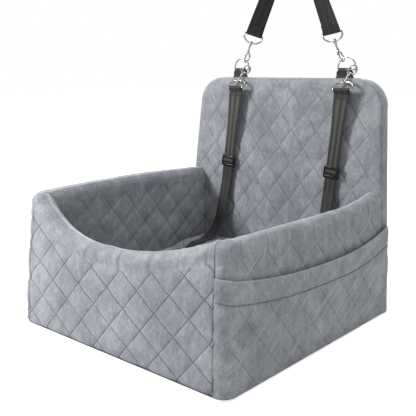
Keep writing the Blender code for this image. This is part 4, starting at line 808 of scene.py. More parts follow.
def make_cushion(mat):
    """Loose cushion: a box blown up by a cloth simulation, held to its space, then quilted on top."""
    half, front, rear = cushion_edges()
    inset = 5 * MM
    low = np.array([-half + inset, front + inset, CUSHION_FLOOR + inset])
    high = np.array([half - inset, rear - inset, CUSHION_FLOOR + CUSHION_SIDE - 2 * MM])
    mesh = bpy.data.meshes.new("cushion")
    bm = bmesh.new()
    bmesh.ops.create_cube(bm, size=1)
    for vert in bm.verts:
        vert.co = Vector((low + high) / 2 + np.array(vert.co) * (high - low))
    bmesh.ops.bevel(bm, geom=bm.edges, offset=9 * MM, segments=3, affect="EDGES")
    bm.to_mesh(mesh)
    bm.free()
    obj = bpy.data.objects.new("cushion", mesh)
    bpy.context.scene.collection.objects.link(obj)
    remesh = obj.modifiers.new("voxels", "REMESH")
    remesh.mode = "VOXEL"
    remesh.voxel_size = 5 * MM
    apply_modifiers(obj)
    blow_up(obj, 4.0, 14 * MM)
    divide = obj.modifiers.new("divide", "SUBSURF")
    divide.levels = 1
    divide.render_levels = 1
    apply_modifiers(obj)
    mesh = obj.data
    points = np.zeros(len(mesh.vertices) * 3)
    mesh.vertices.foreach_get("co", points)
    points = points.reshape(-1, 3)
    points[:, 0] = np.clip(points[:, 0], -half, half)
    points[:, 1] = np.clip(points[:, 1], front, rear)
    points[:, 2] = np.maximum(points[:, 2], CUSHION_FLOOR)
    x, y, z = points.T
    roof = cushion_top(x, y)
    upper = step_curve(z, CUSHION_FLOOR + CUSHION_SIDE * 0.5, CUSHION_FLOOR + CUSHION_SIDE * 0.9)
    margin = np.minimum(half - np.abs(x), np.minimum(y - front, rear - y))
    inner = step_curve(margin, 10 * MM, 34 * MM)
    puff = CUSHION_PUFF * (1 - step_curve(margin, 14 * MM, 50 * MM)) * step_curve(margin, 0, 5 * MM)
    roof = roof + puff
    inner = np.maximum(inner, 0.75 * step_curve(margin, 0, 8 * MM))
    points[:, 2] = z + (roof - z) * upper * inner
    points[:, 2] = np.where(upper > 0.5, np.minimum(points[:, 2], roof), points[:, 2])
    middle = (front + rear) / 2
    fade = upper * step_curve(margin, 14 * MM, 34 * MM)
    points[:, 2] -= seam_dent(CUSHION_QUILT, x, y - middle) * fade
    points[:, 2] -= np.abs(drift(x, y, 34 * MM, 91)) * 1.1 * MM * upper
    mesh.vertices.foreach_set("co", points.ravel())
    mark = mesh.attributes.new("quilted", "FLOAT", "POINT")
    mark.data.foreach_set("value", fade.astype(np.float32))
    counts = np.stack(seam_counts(CUSHION_QUILT, x, y - middle), -1)
    layer = mesh.uv_layers.new(name="quilt")
    loops = np.zeros(len(mesh.loops), int)
    mesh.loops.foreach_get("vertex_index", loops)
    layer.data.foreach_set("uv", counts[loops].astype(np.float32).ravel())
    mesh.shade_smooth()
    mesh.materials.clear()
    mesh.materials.append(mat)
    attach(obj, "root")
    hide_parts("cushion_cover", "cushion_foam")


def apply_modifiers(obj):
    """Put an object's evaluated mesh in its place and drop its modifiers."""
    bpy.context.view_layer.update()
    made = bpy.data.meshes.new_from_object(obj.evaluated_get(bpy.context.evaluated_depsgraph_get()))
    obj.modifiers.clear()
    obj.data = made


def blow_up(obj, pressure, cap):
    """Inflate a closed cloth for twenty frames; no point ends farther than cap from its start."""
    mesh = obj.data
    start = np.zeros(len(mesh.vertices) * 3)
    mesh.vertices.foreach_get("co", start)
    cloth = obj.modifiers.new("cloth", "CLOTH")
    cloth.settings.use_pressure = True
    cloth.settings.uniform_pressure_force = pressure
    cloth.settings.quality = 4
    cloth.settings.mass = 0.3
    cloth.settings.tension_stiffness = 15
    cloth.settings.compression_stiffness = 15
    cloth.settings.effector_weights.gravity = 0
    scene = bpy.context.scene
    for step in range(1, 21):
        scene.frame_set(step)
    apply_modifiers(obj)
    scene.frame_set(1)
    mesh = obj.data
    ends = np.zeros(len(mesh.vertices) * 3)
    mesh.vertices.foreach_get("co", ends)
    move = (ends - start).reshape(-1, 3)
    size = np.linalg.norm(move, axis=1, keepdims=True)
    move = move * np.minimum(1, cap / np.maximum(size, 1e-9))
    mesh.vertices.foreach_set("co", (start.reshape(-1, 3) + move).ravel())


def pocket_top(y):
    """Height of the pocket's upper edge, lowest behind the middle."""
    ahead = np.maximum(POCKET_LOW_Y - y, 0) / (POCKET_LOW_Y - FRONT_Y)
    behind = np.maximum(y - POCKET_LOW_Y, 0) / (REAR_Y - POCKET_LOW_Y)
    return (POCKET_LOW + POCKET_FRONT_RISE * ahead ** POCKET_FRONT_POWER
            + POCKET_REAR_RISE * behind ** POCKET_REAR_POWER)


POCKET_START = CLEAR
POCKET_END = SIDE_LENGTH + BACK_THICK - 16 * MM


def pocket_point(length, z, depth):
    """Point of the pocket at a length along the right side and a height, depth outside its inner face."""
    outer, inner = side_plan(length, 1)
    x, y = lean_in(outer[0], outer[1], z)
    base = np.stack([x, y], -1)
    far = np.stack([np.broadcast_to(p, x.shape) for p in inner], -1)
    way = base - far
    way = way / np.linalg.norm(way, axis=-1, keepdims=True)
    crest = right_crest(np.minimum(length / SIDE_LENGTH, 1))
    swell = WALL_CROWN * np.sin(math.pi * np.clip((z - FLOOR) / (crest - FLOOR), 0, 1))
    top = pocket_top(y)
    share = np.clip((length - POCKET_START) / (POCKET_END - POCKET_START), 0, 1)
    room = POCKET_ROOM * (z / top) * np.sin(math.pi * share) ** POCKET_ROOM_POWER
    spot = base + way * (swell + CLEAR * 2 + room + depth)[..., None]
    return np.concatenate([spot, z[..., None]], -1)


def slant_folds(length, z, seed):
    """Height of the pocket's brushed folds and how far a place lies on the crest of one.

    Along the rising seams run a broad chance wave, a narrow one and crests (1 - |n|)^5 of a third field n.
    """
    slope = SIDE_QUILT["rise"][0]
    cos, sin = 1 / math.hypot(1, slope), slope / math.hypot(1, slope)
    along, across = length * cos + z * sin, -length * sin + z * cos
    broad = drift(across, along * 0.16, 16 * MM, seed)
    narrow = drift(across, along * 0.3, 7 * MM, seed + 1)
    crest = (1 - np.abs(drift(across, along * 0.2, 21 * MM, seed + 2))) ** 5
    rear = 0.3 + 0.7 * step_curve(length, 110 * MM, 300 * MM)
    return (1.2 * MM * broad + 0.5 * MM * narrow + 1.5 * MM * crest) * rear, crest * rear


def make_pocket(mat):
    """Patch pocket on the right side: its quilted panel and the turned hem along its mouth."""
    count = int((POCKET_END - POCKET_START) / FINE_STEP)
    length = np.linspace(POCKET_START, POCKET_END, count)[:, None]
    y = side_plan(length, 1)[0][1]
    seam = pocket_top(y) - POCKET_HEM
    low = FLOOR + POCKET_FOOT
    z = low + (seam - CLEAR - low) * np.linspace(0, 1, 64)[None, :]
    span = length * np.ones_like(z)
    fade = step_curve(z, FLOOR, 20 * MM) * step_curve(seam - z, 0, 12 * MM)
    side = np.minimum(span - POCKET_START, POCKET_END - span)
    dent = seam_dent(SIDE_QUILT, span, z) * 0.8 * fade
    folds, crests = slant_folds(span, z, 51)
    calm = step_curve(side, 0, 30 * MM) * step_curve(z, low, 40 * MM) * step_curve(seam - z, 0, 10 * MM)
    ridge = seam_ridges(SIDE_QUILT, span, z, 43) * (0.45 + 0.55 * step_curve(span, 60 * MM, 260 * MM))
    dent = dent - folds * calm - 1.3 * MM * ridge * calm
    dent = dent + 1.6 * MM * np.exp(-(seam - z) / (3 * MM)) + 1.8 * MM * np.exp(-side / (4 * MM))
    thick = POCKET_SHEET + 1.2 * MM - dent
    outer = pocket_point(span, z, thick)
    inner_z = z[:, ::-8]
    inner = pocket_point(length * np.ones_like(inner_z), inner_z, np.zeros_like(inner_z))
    points = np.concatenate([outer, inner], 1)
    rows, columns = points.shape[:2]
    across = np.broadcast_to(length, (rows, columns))
    counts = np.stack(seam_counts(SIDE_QUILT, across, points[..., 2]), -1)
    marks = np.concatenate([0.55 * fade * (1 - 0.8 * ridge) * step_curve(span, 2 * MM, 40 * MM),
                            np.zeros_like(inner_z)], 1)
    # Painted shade along the hem's seam and the sewn front end
    crease = np.concatenate([np.exp(-(seam - z) / (1.2 * MM)), np.zeros_like(inner_z)], 1) * 0.4
    crease = np.maximum(crease, np.exp(-(length - POCKET_START) / (1.5 * MM)))
    # Painted highlight on the crests of the brushed folds and along the seam ridges
    pale = np.concatenate([np.maximum(0.45 * crests, 0.7 * ridge) * calm, np.zeros_like(inner_z)], 1)
    panel = closed_body("pocket_panel_cloth", points, counts,
                        {"quilted": marks, "crease": crease, "pale": pale}, mat)

    turn = np.linspace(0, math.pi, 34)[None, :]
    share = (1 - np.cos(turn)) / 2
    level = seam + POCKET_HEM * share
    swell = POCKET_HEM_SWELL * np.sin(turn) ** 0.55
    folds, crests = slant_folds(length * np.ones_like(level), level, 57)
    fold = folds * 0.7 * np.sin(turn) ** 0.5
    wave = drift(length + 0 * turn, level, 21 * MM, 59) * 0.8 * MM * np.sin(turn) ** 0.5
    pinch = 2.0 * MM * np.exp(-np.minimum(length - POCKET_START, POCKET_END - length) / (4 * MM))
    depth = np.maximum(swell + fold + wave - pinch * np.sin(turn), 0.8 * MM) + 0.6 * MM
    outside = pocket_point(length * np.ones_like(level), level, depth)
    back_level = level[:, -2:0:-4]
    inside = pocket_point(length * np.ones_like(back_level), back_level, np.zeros_like(back_level))
    points = np.concatenate([outside, inside], 1)
    rows, columns = points.shape[:2]
    # Painted shade along the hem's lower seam and the sewn front end
    crease = np.concatenate([np.exp(-(level - seam) / (1.2 * MM)), np.zeros_like(back_level)], 1) * 0.4
    crease = np.maximum(crease, np.exp(-(length - POCKET_START) / (1.5 * MM)))
    across = np.broadcast_to(length, (rows, columns))
    counts = np.stack(seam_counts(SIDE_QUILT, across, points[..., 2]), -1)
    marks = np.concatenate([0.25 * np.sin(turn) * np.ones_like(level), np.zeros_like(back_level)], 1)
    # Painted highlight on the hem's fold crests and along its rounded top
    pale = np.concatenate([(0.3 * crests + 0.3 * np.exp(-((turn - 2.9) / 0.15) ** 2)) * np.sin(turn) ** 0.3,
                           np.zeros_like(back_level)], 1)
    hem = closed_body("pocket_hem_cloth", points, counts,
                      {"quilted": marks, "crease": crease, "pale": pale}, mat)
    for obj, name, fill in ((panel, "pocket_panel", 0.2), (hem, "pocket_hem", 0.5)):
        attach(obj, "root")
        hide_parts(name)


def as_arrays(points):
    """Points or vectors as one array."""
    return np.array([tuple(point) for point in points], float)


def outward(points, faces):
    """Shell with its faces turned outwards by the sign of its volume."""
    volume = 0.0
    for face in faces:
        corners = points[face]
        volume += float(np.cross(corners[1:-1], corners[2:]).sum(0) @ corners[0])
    return points, (faces if volume > 0 else [face[::-1] for face in faces])


def shell(rings, closed=False):
    """Shell through rings of points, with a flat face at both ends unless it closes on itself."""
    rings = np.asarray(rings, float)
    index = np.arange(rings.shape[0] * rings.shape[1]).reshape(rings.shape[:2])
    ahead = np.roll(index, -1, 1)
    rows = slice(None) if closed else slice(None, -1)
    far, far_ahead = np.roll(index, -1, 0)[rows], np.roll(ahead, -1, 0)[rows]
    faces = np.stack([index[rows], far, far_ahead, ahead[rows]], -1).reshape(-1, 4).tolist()
    if not closed:
        faces += [index[0].tolist(), index[-1][::-1].tolist()]
    return outward(rings.reshape(-1, 3), faces)


def moved(shells, matrix):
    """Shells put in place by a matrix."""
    turn, shift = np.array(matrix.to_3x3()), np.array(matrix.translation)
    return [(points @ turn.T + shift, faces) for points, faces in shells]


def soften(corners, reach, closed=True, steps=5):
    """Outline whose corners are rounded by quadratic curves from a reach before each corner to one after it."""
    corners = as_arrays(corners)
    reaches = np.broadcast_to(reach, len(corners))
    line = []
    for i, corner in enumerate(corners):
        if not closed and i in (0, len(corners) - 1):
            line.append(corner)
            continue
        ends = [corners[i - 1] - corner, corners[(i + 1) % len(corners)] - corner]
        ends = [corner + way / np.linalg.norm(way) * min(reaches[i], np.linalg.norm(way) * 0.49) for way in ends]
        for t in np.linspace(0, 1, steps):
            line.append(ends[0] * (1 - t) ** 2 + corner * 2 * t * (1 - t) + ends[1] * t ** 2)
    return np.array(line)


def wire(path, radii, normal, sides=14, closed=False):
    """Round wire along a path that lies in a plane with the given normal."""
    path = as_arrays(path)
    radii = np.broadcast_to(radii, len(path))
    places = np.arange(len(path))
    before = path[places - 1] if closed else path[np.maximum(places - 1, 0)]
    after = path[(places + 1) % len(path)] if closed else path[np.minimum(places + 1, len(path) - 1)]
    across = np.asarray(normal, float) / np.linalg.norm(normal)
    out = np.cross(after - before, across)
    out /= np.linalg.norm(out, axis=1, keepdims=True)
    turn = np.linspace(0, 2 * math.pi, sides, endpoint=False)[None, :, None]
    rings = path[:, None] + radii[:, None, None] * (out[:, None] * np.cos(turn) + across * np.sin(turn))
    return shell(rings, closed)


def lathe(profile, sides=24):
    """Turned body round the z axis from a profile of (radius, height)."""
    turn = np.linspace(0, 2 * math.pi, sides, endpoint=False)
    return shell([[(max(r, 0.01 * MM) * math.cos(a), max(r, 0.01 * MM) * math.sin(a), z) for a in turn]
                  for r, z in profile])


def ring_boss(inner, outer, low, high, round_by, sides=28):
    """Bored boss round the z axis."""
    profile = soften([(inner, low), (outer, low), (outer, high), (inner, high)], round_by, steps=4)
    turn = np.linspace(0, 2 * math.pi, sides, endpoint=False)
    return shell([[(r * math.cos(a), r * math.sin(a), z) for r, z in profile] for a in turn], True)


def inset(outline, amount):
    """Outline drawn in by an amount."""
    way = np.roll(outline, -1, 0) - np.roll(outline, 1, 0)
    way /= np.linalg.norm(way, axis=1, keepdims=True)
    area = np.cross(outline, np.roll(outline, -1, 0)).sum()
    return outline + np.stack([-way[:, 1], way[:, 0]], -1) * amount * math.copysign(1, area)


def plate(outline, low, high, edge):
    """Flat plate in the x-z plane between two levels of y, its edges softened."""
    rows = ((edge, low), (edge * 0.3, low + edge * 0.3), (0, low + edge),
            (0, high - edge), (edge * 0.3, high - edge * 0.3), (edge, high))
    rings = []
    for amount, level in rows:
        line = inset(outline, amount)
        rings.append(np.stack([line[:, 0], np.full(len(line), level), line[:, 1]], -1))
    return shell(rings)


def soft_box(low, high, radius):
    """Box between two corners with rounded edges."""
    low, high = np.array(low), np.array(high)
    bm = bmesh.new()
    bmesh.ops.create_cube(bm, size=1)
    for vert in bm.verts:
        vert.co = Vector((low + high) / 2 + np.array(vert.co) * (high - low))
    bmesh.ops.bevel(bm, geom=bm.edges, offset=radius, segments=3, affect="EDGES", profile=0.5)
    points = as_arrays([vert.co for vert in bm.verts])
    faces = [[vert.index for vert in face.verts] for face in bm.faces]
    bm.free()
    return outward(points, faces)


def capsule(start, end, radius, steps=9):
    """Outline round two places in a plane."""
    first, last = np.array(start), np.array(end)
    way = (last - first) / np.linalg.norm(last - first)
    side = np.array([-way[1], way[0]])
    points = []
    for centre, sign in ((first, 1), (last, -1)):
        for turn in np.linspace(0, math.pi, steps):
            points.append(centre + (side * math.cos(turn) - way * math.sin(turn)) * radius * sign)
    return np.array(points)


def stitches(places, out, thick=0.34 * MM, length=2.6 * MM, pitch=4.0 * MM):
    """Row of sewn stitches along a polyline: spindles that rise a little in their middle."""
    line = as_arrays(places)
    out = np.asarray(out, float)
    steps = np.linalg.norm(np.diff(line, axis=0), axis=1)
    lengths = np.concatenate([[0], np.cumsum(steps)])
    count = max(int(lengths[-1] / pitch), 1)
    shares = np.array([-0.5, -0.25, 0, 0.25, 0.5])
    row = []
    for k in range(count):
        middle = (k + 0.5) * lengths[-1] / count
        ends = [np.array([np.interp(middle + d, lengths, line[:, i]) for i in range(3)])
                for d in (-length / 2, length / 2)]
        way = ends[1] - ends[0]
        path = [(ends[0] + ends[1]) / 2 + way * s + out * thick * (1 - 4 * s * s) * 0.6 for s in shares]
        radii = thick * np.sqrt(np.maximum(1 - (shares * 1.9) ** 2, 0.02))
        row.append(wire(path, radii, np.cross(way, out), 6))
    return row


def make_piece(name, shells, mat, body, nodes, uv=None, marks=None, sharp=None):
    """Object from shells that rides on a body and stands for CAD nodes."""
    points = np.concatenate([part for part, _ in shells])
    faces, start = [], 0
    for part, loops in shells:
        faces += [[i + start for i in loop] for loop in loops]
        start += len(part)
    mesh = bpy.data.meshes.new(name)
    mesh.from_pydata(points.tolist(), [], faces)
    if uv is not None:
        layer = mesh.uv_layers.new(name="web")
        loops = np.zeros(len(mesh.loops), int)
        mesh.loops.foreach_get("vertex_index", loops)
        layer.data.foreach_set("uv", uv[loops].astype(np.float32).ravel())
    for label, values in (marks or {}).items():
        layer = mesh.attributes.new(label, "FLOAT", "POINT")
        layer.data.foreach_set("value", values.astype(np.float32))
    mesh.shade_smooth()
    if sharp is not None:
        mesh.set_sharp_from_angle(angle=math.radians(sharp))
    mesh.materials.append(mat)
    obj = bpy.data.objects.new(name, mesh)
    bpy.context.scene.collection.objects.link(obj)
    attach(obj, body)
    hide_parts(*nodes)


def eye_shells():
    """Snap hook's eye: wire loop for the webbing and the bored boss for the swivel."""
    corners = ((EYE_TOP_HALF, -EYE_LEVEL), (EYE_BAR_HALF, EYE_SIDE - EYE_DROP), (EYE_BAR_HALF, -EYE_DROP),
               (-EYE_BAR_HALF, -EYE_DROP), (-EYE_BAR_HALF, EYE_SIDE - EYE_DROP), (-EYE_TOP_HALF, -EYE_LEVEL))
    reaches = (3.2 * MM, 3.2 * MM, EYE_CORNER, EYE_CORNER, 3.2 * MM, 3.2 * MM)
    path = [(x, 0, z) for x, z in soften(corners, reaches, steps=7)]
    low = -BOSS_TOP - BOSS_HEIGHT
    return [wire(path, EYE_WIRE, (0, 1, 0), 16, True),
            ring_boss(STEM_RADIUS + CLEAR, BOSS_RADIUS, low, -BOSS_TOP, 0.6 * MM)]


def claw_shells():
    """Snap hook's body: riveted stem, collar, barrel, curved claw with a round tip, ears and gate pin."""
    head = -BOSS_TOP - BOSS_HEIGHT - CLEAR
    profile = ((0, head - RIVET_HEIGHT), (RIVET_RADIUS, head - RIVET_HEIGHT), (RIVET_RADIUS, head),
               (STEM_RADIUS, head), (STEM_RADIUS, 0), (COLLAR_RADIUS, 0), (COLLAR_RADIUS, COLLAR_HEIGHT),
               (BARREL_RADIUS, BARREL_LOW), (BARREL_TIP_RADIUS, BARREL_TOP), (0, BARREL_TOP))
    turn = np.linspace(*CLAW_TURN, 40)
    bow = np.stack([CLAW_X + CLAW_HALF_WIDTH * np.cos(turn), CLAW_Z + CLAW_HALF_HEIGHT * np.sin(turn)], -1)
    root = soften([(0, CLAW_ROOT_Z), CLAW_BEND, bow[0], bow[2]], 2.4 * MM, False, 6)
    path = np.concatenate([root[:-1], bow[3:]])
    radii = np.full(len(path), CLAW_WIRE)
    radii[-14:] = np.linspace(CLAW_WIRE, CLAW_TIP_WIRE, 14)
    last = path[-1]
    way = (last - path[-2]) / np.linalg.norm(last - path[-2])
    shares = np.array([0.3, 0.6, 0.82, 0.95, 1.0])
    tip = last + way * shares[:, None] * CLAW_TIP_WIRE * 0.8
    path = np.concatenate([path, tip])
    radii = np.concatenate([radii, CLAW_TIP_WIRE * np.sqrt(np.maximum(1 - shares ** 2, 0.003))])
    ear = capsule(PIVOT, CLAW_BEND, EAR_RADIUS)
    inner = GATE_HALF + CLEAR
    reach = inner + EAR_THICK + 0.35 * MM
    pin = lathe(soften([(0, -reach), (PIN_HEAD, -reach), (PIN_HEAD, reach), (0, reach)], 0.3 * MM, False, 3), 14)
    lay = Matrix.Translation((PIVOT[0], 0, PIVOT[1])) @ Matrix.Rotation(math.pi / 2, 4, "X")
    return [lathe(soften(profile, 0.45 * MM, False, 4)), wire([(x, 0, z) for x, z in path], radii, (0, 1, 0), 16),
            plate(ear, inner, inner + EAR_THICK, 0.25 * MM), plate(ear, -inner - EAR_THICK, -inner, 0.25 * MM),
            *moved([pin], lay)]


def gate_shells():
    """Snap hook's sprung gate with its thumb tab, in the claw's frame."""
    low = PIVOT[1] - GATE_ROOT
    top = CLAW_Z + CLAW_HALF_HEIGHT * math.sin(CLAW_TURN[1]) - GATE_GAP
    corners = ((PIVOT[0] - GATE_ROOT, low), (PIVOT[0] + GATE_ROOT, low), (GATE_TOP[0], top), (GATE_TOP[1], top),
               (TAB_NECK_X, TAB_NECK[1]), (TAB_KNOB_X, TAB_KNOB[1]), (TAB_KNOB_X, TAB_KNOB[0]),
               (TAB_NECK_X, TAB_NECK[0]))
    reaches = np.array([1.5, 1.5, 0.7, 0.7, 1.0, 1.4, 1.4, 1.0]) * MM
    return [plate(soften(corners, reaches), -GATE_HALF, GATE_HALF, 0.35 * MM)]


def buckle_shells():
    """Three-bar slider: two rails, two outer bars in front of the webbing and the middle bar behind it."""
    inner = TETHER_WIDTH / 2 + CLEAR
    web = WEB_THICK / 2 + CLEAR
    half = BUCKLE_LENGTH / 2
    deep = web + BUCKLE_BAR
    reach = inner + BUCKLE_RAIL * 0.7
    mid = BUCKLE_MID_LENGTH / 2
    boxes = [((-inner - BUCKLE_RAIL, -deep, -half), (-inner, deep, half), 1.3 * MM),
             ((inner, -deep, -half), (inner + BUCKLE_RAIL, deep, half), 1.3 * MM),
             ((-reach, web, -half), (reach, deep, -half + BUCKLE_BAR_LENGTH), 1.2 * MM),
             ((-reach, web, half - BUCKLE_BAR_LENGTH), (reach, deep, half), 1.2 * MM),
             ((-reach, -deep, -mid), (reach, -web, mid), 1.0 * MM)]
    return [soft_box(low, high, radius) for low, high, radius in boxes]


def hook_frames(name):
    """Swivel frame of a hook from its two joints, and the frame of its eye."""
    swivel, hinge = joints[name + "_swivel"], joints[name + "_gate_hinge"]
    z, y = Vector(swivel["axis"]).normalized(), Vector(hinge["axis"]).normalized()
    claw = Matrix((y.cross(z), y, z)).transposed().to_4x4()
    claw.translation = swivel["pos_m"]
    if name.startswith("strap"):
        across = Vector((math.sin(STRAP_TWIST), math.cos(STRAP_TWIST), 0))
    elif name.startswith("tether"):
        across = Vector((1, 0, 0))
    else:
        across = y.cross(z) * (1 if name.endswith("right") else -1)
    x = (across - z * across.dot(z)).normalized()
    eye = Matrix((x, z.cross(x), z)).transposed().to_4x4()
    eye.translation = swivel["pos_m"]
    return claw, eye


def make_hooks(steel):
    """Six swivelling snap hooks: eye, claw and gate of each."""
    eye, claw, gate = eye_shells(), claw_shells(), gate_shells()
    for use in ("strap_hook", "tether_hook", "lead_hook"):
        for side in ("left", "right"):
            name = use + "_" + side
            claw_frame, eye_frame = hook_frames(name)
            for part, shells, place, body in (("eye", eye, eye_frame, "root"),
                                              ("claw", claw, claw_frame, name + "_claw"),
                                              ("gate", gate, claw_frame, name + "_gate")):
                make_piece(name + "_" + part + "_steel", moved(shells, place), steel, body,
                           [name + "_" + part], sharp=50)


def back_top_y():
    """Middle of the backrest's thickness at its top edge."""
    return BACK_MID_Y + float(back_offset(BACK_TOP))


def ring_level():
    """Height of the D-rings' bars."""
    return BACK_TOP + TAB_RISE - WEB_THICK - CLEAR - RING_WIRE


def ribbon(points, widths, thick=None):
    """Rings and UV of flat webbing along a path; widths are vectors across it, UV is in metres.

    At the share s of the half width the half thickness is t / 2 * sqrt(1 - s^8).
    """
    path, wide = as_arrays(points), as_arrays(widths)
    thick = WEB_THICK if thick is None else thick
    places = np.arange(len(path))
    along = path[np.minimum(places + 1, len(path) - 1)] - path[np.maximum(places - 1, 0)]
    along /= np.linalg.norm(along, axis=1, keepdims=True)
    half = np.linalg.norm(wide, axis=1)[:, None] / 2
    across = wide - along * np.sum(wide * along, 1, keepdims=True)
    across /= np.linalg.norm(across, axis=1, keepdims=True)
    out = np.cross(along, across)
    share = np.sin(np.linspace(-math.pi / 2, math.pi / 2, 25))
    rise = thick / 2 * np.sqrt(1 - share ** 8)
    share = np.concatenate([share, share[-2:0:-1]])
    rise = np.concatenate([rise, -rise[-2:0:-1]])
    rings = (path[:, None] + across[:, None] * (half * share)[..., None] + out[:, None] * rise[None, :, None])
    length = np.concatenate([[0], np.cumsum(np.linalg.norm(np.diff(path, axis=0), axis=1))])
    uv = np.stack([half * share, np.broadcast_to(length[:, None], rings.shape[:2])], -1)
    return rings, uv.reshape(-1, 2)


def make_webbing(name, points, widths, mat, nodes, stripes_and_sheen=None, extra=()):
    """Strap along a path, with two lighter lengthwise bands whose strength at each point comes from a list: partly
    woven stripes, partly painted sheen.
    """
    rings, uv = ribbon(points, widths)
    share = (uv[:, 0] / np.repeat(np.linalg.norm(as_arrays(widths), axis=1), rings.shape[1])).reshape(rings.shape[:2])
    light = np.exp(-((share + 0.16) / 0.1) ** 4) + np.exp(-((share - 0.25) / 0.08) ** 4)
    strength = np.zeros(len(points)) if stripes_and_sheen is None else np.asarray(stripes_and_sheen)
    spare = sum(len(part) for part, _ in extra)
    uv = np.concatenate([uv, np.zeros((spare, 2))])
    marks = {"band": np.concatenate([(light * strength[:, None]).ravel(), np.zeros(spare)])}
    make_piece(name, [shell(rings), *extra], mat, "root", nodes, uv, marks, 60)


def tail_level(share):
    """Offset of a sewn fold's tail from its bar at a share of its length: a smooth step under the run."""
    wrap = EYE_WIRE + CLEAR + WEB_THICK / 2
    return -wrap + (2 * wrap - WEB_THICK - FOLD_GAP) * float(step_curve(share, 0.0, 0.6))


def fold_path(bar, run, out):
    """Webbing sewn round an eye's bar: its tail under the run, then a half turn to the run's start."""
    wrap = EYE_WIRE + CLEAR + WEB_THICK / 2
    tail = [bar + run * (FOLD_LENGTH * s) + out * tail_level(s) for s in np.linspace(1, 0, 11)[:-1]]
    bend = [bar - out * (wrap * math.cos(t)) - run * (wrap * math.sin(t)) for t in np.linspace(0, math.pi, 15)]
    return tail + bend


def fold_stitches(bar, run, out, side, wide):
    """Sewn box and cross over a fold, on the run's face and on the tail's."""
    half, lift = wide / 2 - 3.5 * MM, 0.05 * MM
    corners = [(4.0 * MM, -half), (4.0 * MM, half), (15.5 * MM, half), (15.5 * MM, -half)]
    rows = [(corners[i], corners[(i + 1) % 4]) for i in range(4)] + [(corners[0], corners[2]),
                                                                     (corners[1], corners[3])]
    made = []
    for face in (1, -1):
        for first, last in rows:
            line = []
            for t in np.linspace(0, 1, 6):
                far, aside = first[0] + (last[0] - first[0]) * t, first[1] + (last[1] - first[1]) * t
                level = (EYE_WIRE + CLEAR + WEB_THICK + lift if face > 0
                         else tail_level(far / FOLD_LENGTH) - WEB_THICK / 2 - lift)
                line.append(bar + run * far + side * aside + out * level)
            made += stitches(line, out * face, 0.3 * MM, 2.2 * MM, 3.0 * MM)
    return made


def make_headrest_strap(mat):
    """Strap over the headrest: sewn round the eyes of its two hooks, turned smoothly on its way up."""
    apex = Vector(STRAP_APEX)
    across = Vector((math.sin(STRAP_TWIST), math.cos(STRAP_TWIST), 0))
    folds, runs, bars, sewn = [], [], [], []
    for side, sign in (("left", -1), ("right", 1)):
        eye = hook_frames("strap_hook_" + side)[1]
        run = -Vector(eye.col[2][:3])
        bar = eye @ Vector((0, 0, -EYE_DROP))
        out = run.cross(across).normalized() * -sign
        folds.append(fold_path(bar, run, out))
        runs.append(run)
        bars.append(out.cross(run) * -sign)
        sewn += fold_stitches(bar, run, out, bars[-1], WEB_WIDTH)
    half_turn = (math.pi - runs[0].angle(runs[1])) / 2
    centre = apex - (runs[0] + runs[1]).normalized() * (STRAP_BEND / math.cos(half_turn))
    ends = [apex - run * STRAP_BEND * math.tan(half_turn) - centre for run in runs]
    bend = [centre + ends[0].slerp(ends[1], t) * STRAP_BEND for t in np.linspace(0, 1, 15)]
    up = [folds[0][-1].lerp(bend[0], t) for t in np.linspace(0, 1, 60)[1:-1]]
    down = [bend[-1].lerp(folds[1][-1], t) for t in np.linspace(0, 1, 60)[1:-1]]
    points = folds[0] + up + bend + down + list(reversed(folds[1]))
    middle, fold = (len(points) - 1) / 2, len(folds[0])
    widths = []
    for i in range(len(points)):
        away = abs(i - middle)
        angle = STRAP_TWIST * min(away / (middle - fold + 1), 1)
        width = Vector((math.sin(angle), math.cos(angle), 0))
        if away > middle - fold:
            width = bars[0 if i < middle else 1]
        widths.append(width * WEB_WIDTH)
    # Faint bands paint the strap's lengthwise sheen
    make_webbing("headrest_strap_web", points, widths, mat, ["headrest_strap"], [0.18] * len(points), sewn)


def spline(points, steps):
    """Smooth path through points by the Catmull-Rom formula."""
    padded = [points[0] * 2 - points[1]] + points + [points[-1] * 2 - points[-2]]
    path = []
    for a, b, c, d in zip(padded, padded[1:], padded[2:], padded[3:]):
        for t in np.linspace(0, 1, steps, endpoint=False):
            path.append((b * 2 + (c - a) * t + (a * 2 - b * 5 + c * 4 - d) * t ** 2
                         + (b * 3 - a - c * 3 + d) * t ** 3) / 2)
    return path + [points[-1]]


def on_cushion(place, lift):
    """Point above a plan place on the cushion's crowned top."""
    return Vector((place[0], place[1], float(cushion_top(place[0], place[1])) + lift))


def before_back(place):
    """Point or plan place of a route, given by its distance in front of the backrest's face."""
    return Vector((place[0], BACK_FRONT_Y - place[1], *place[2:]))


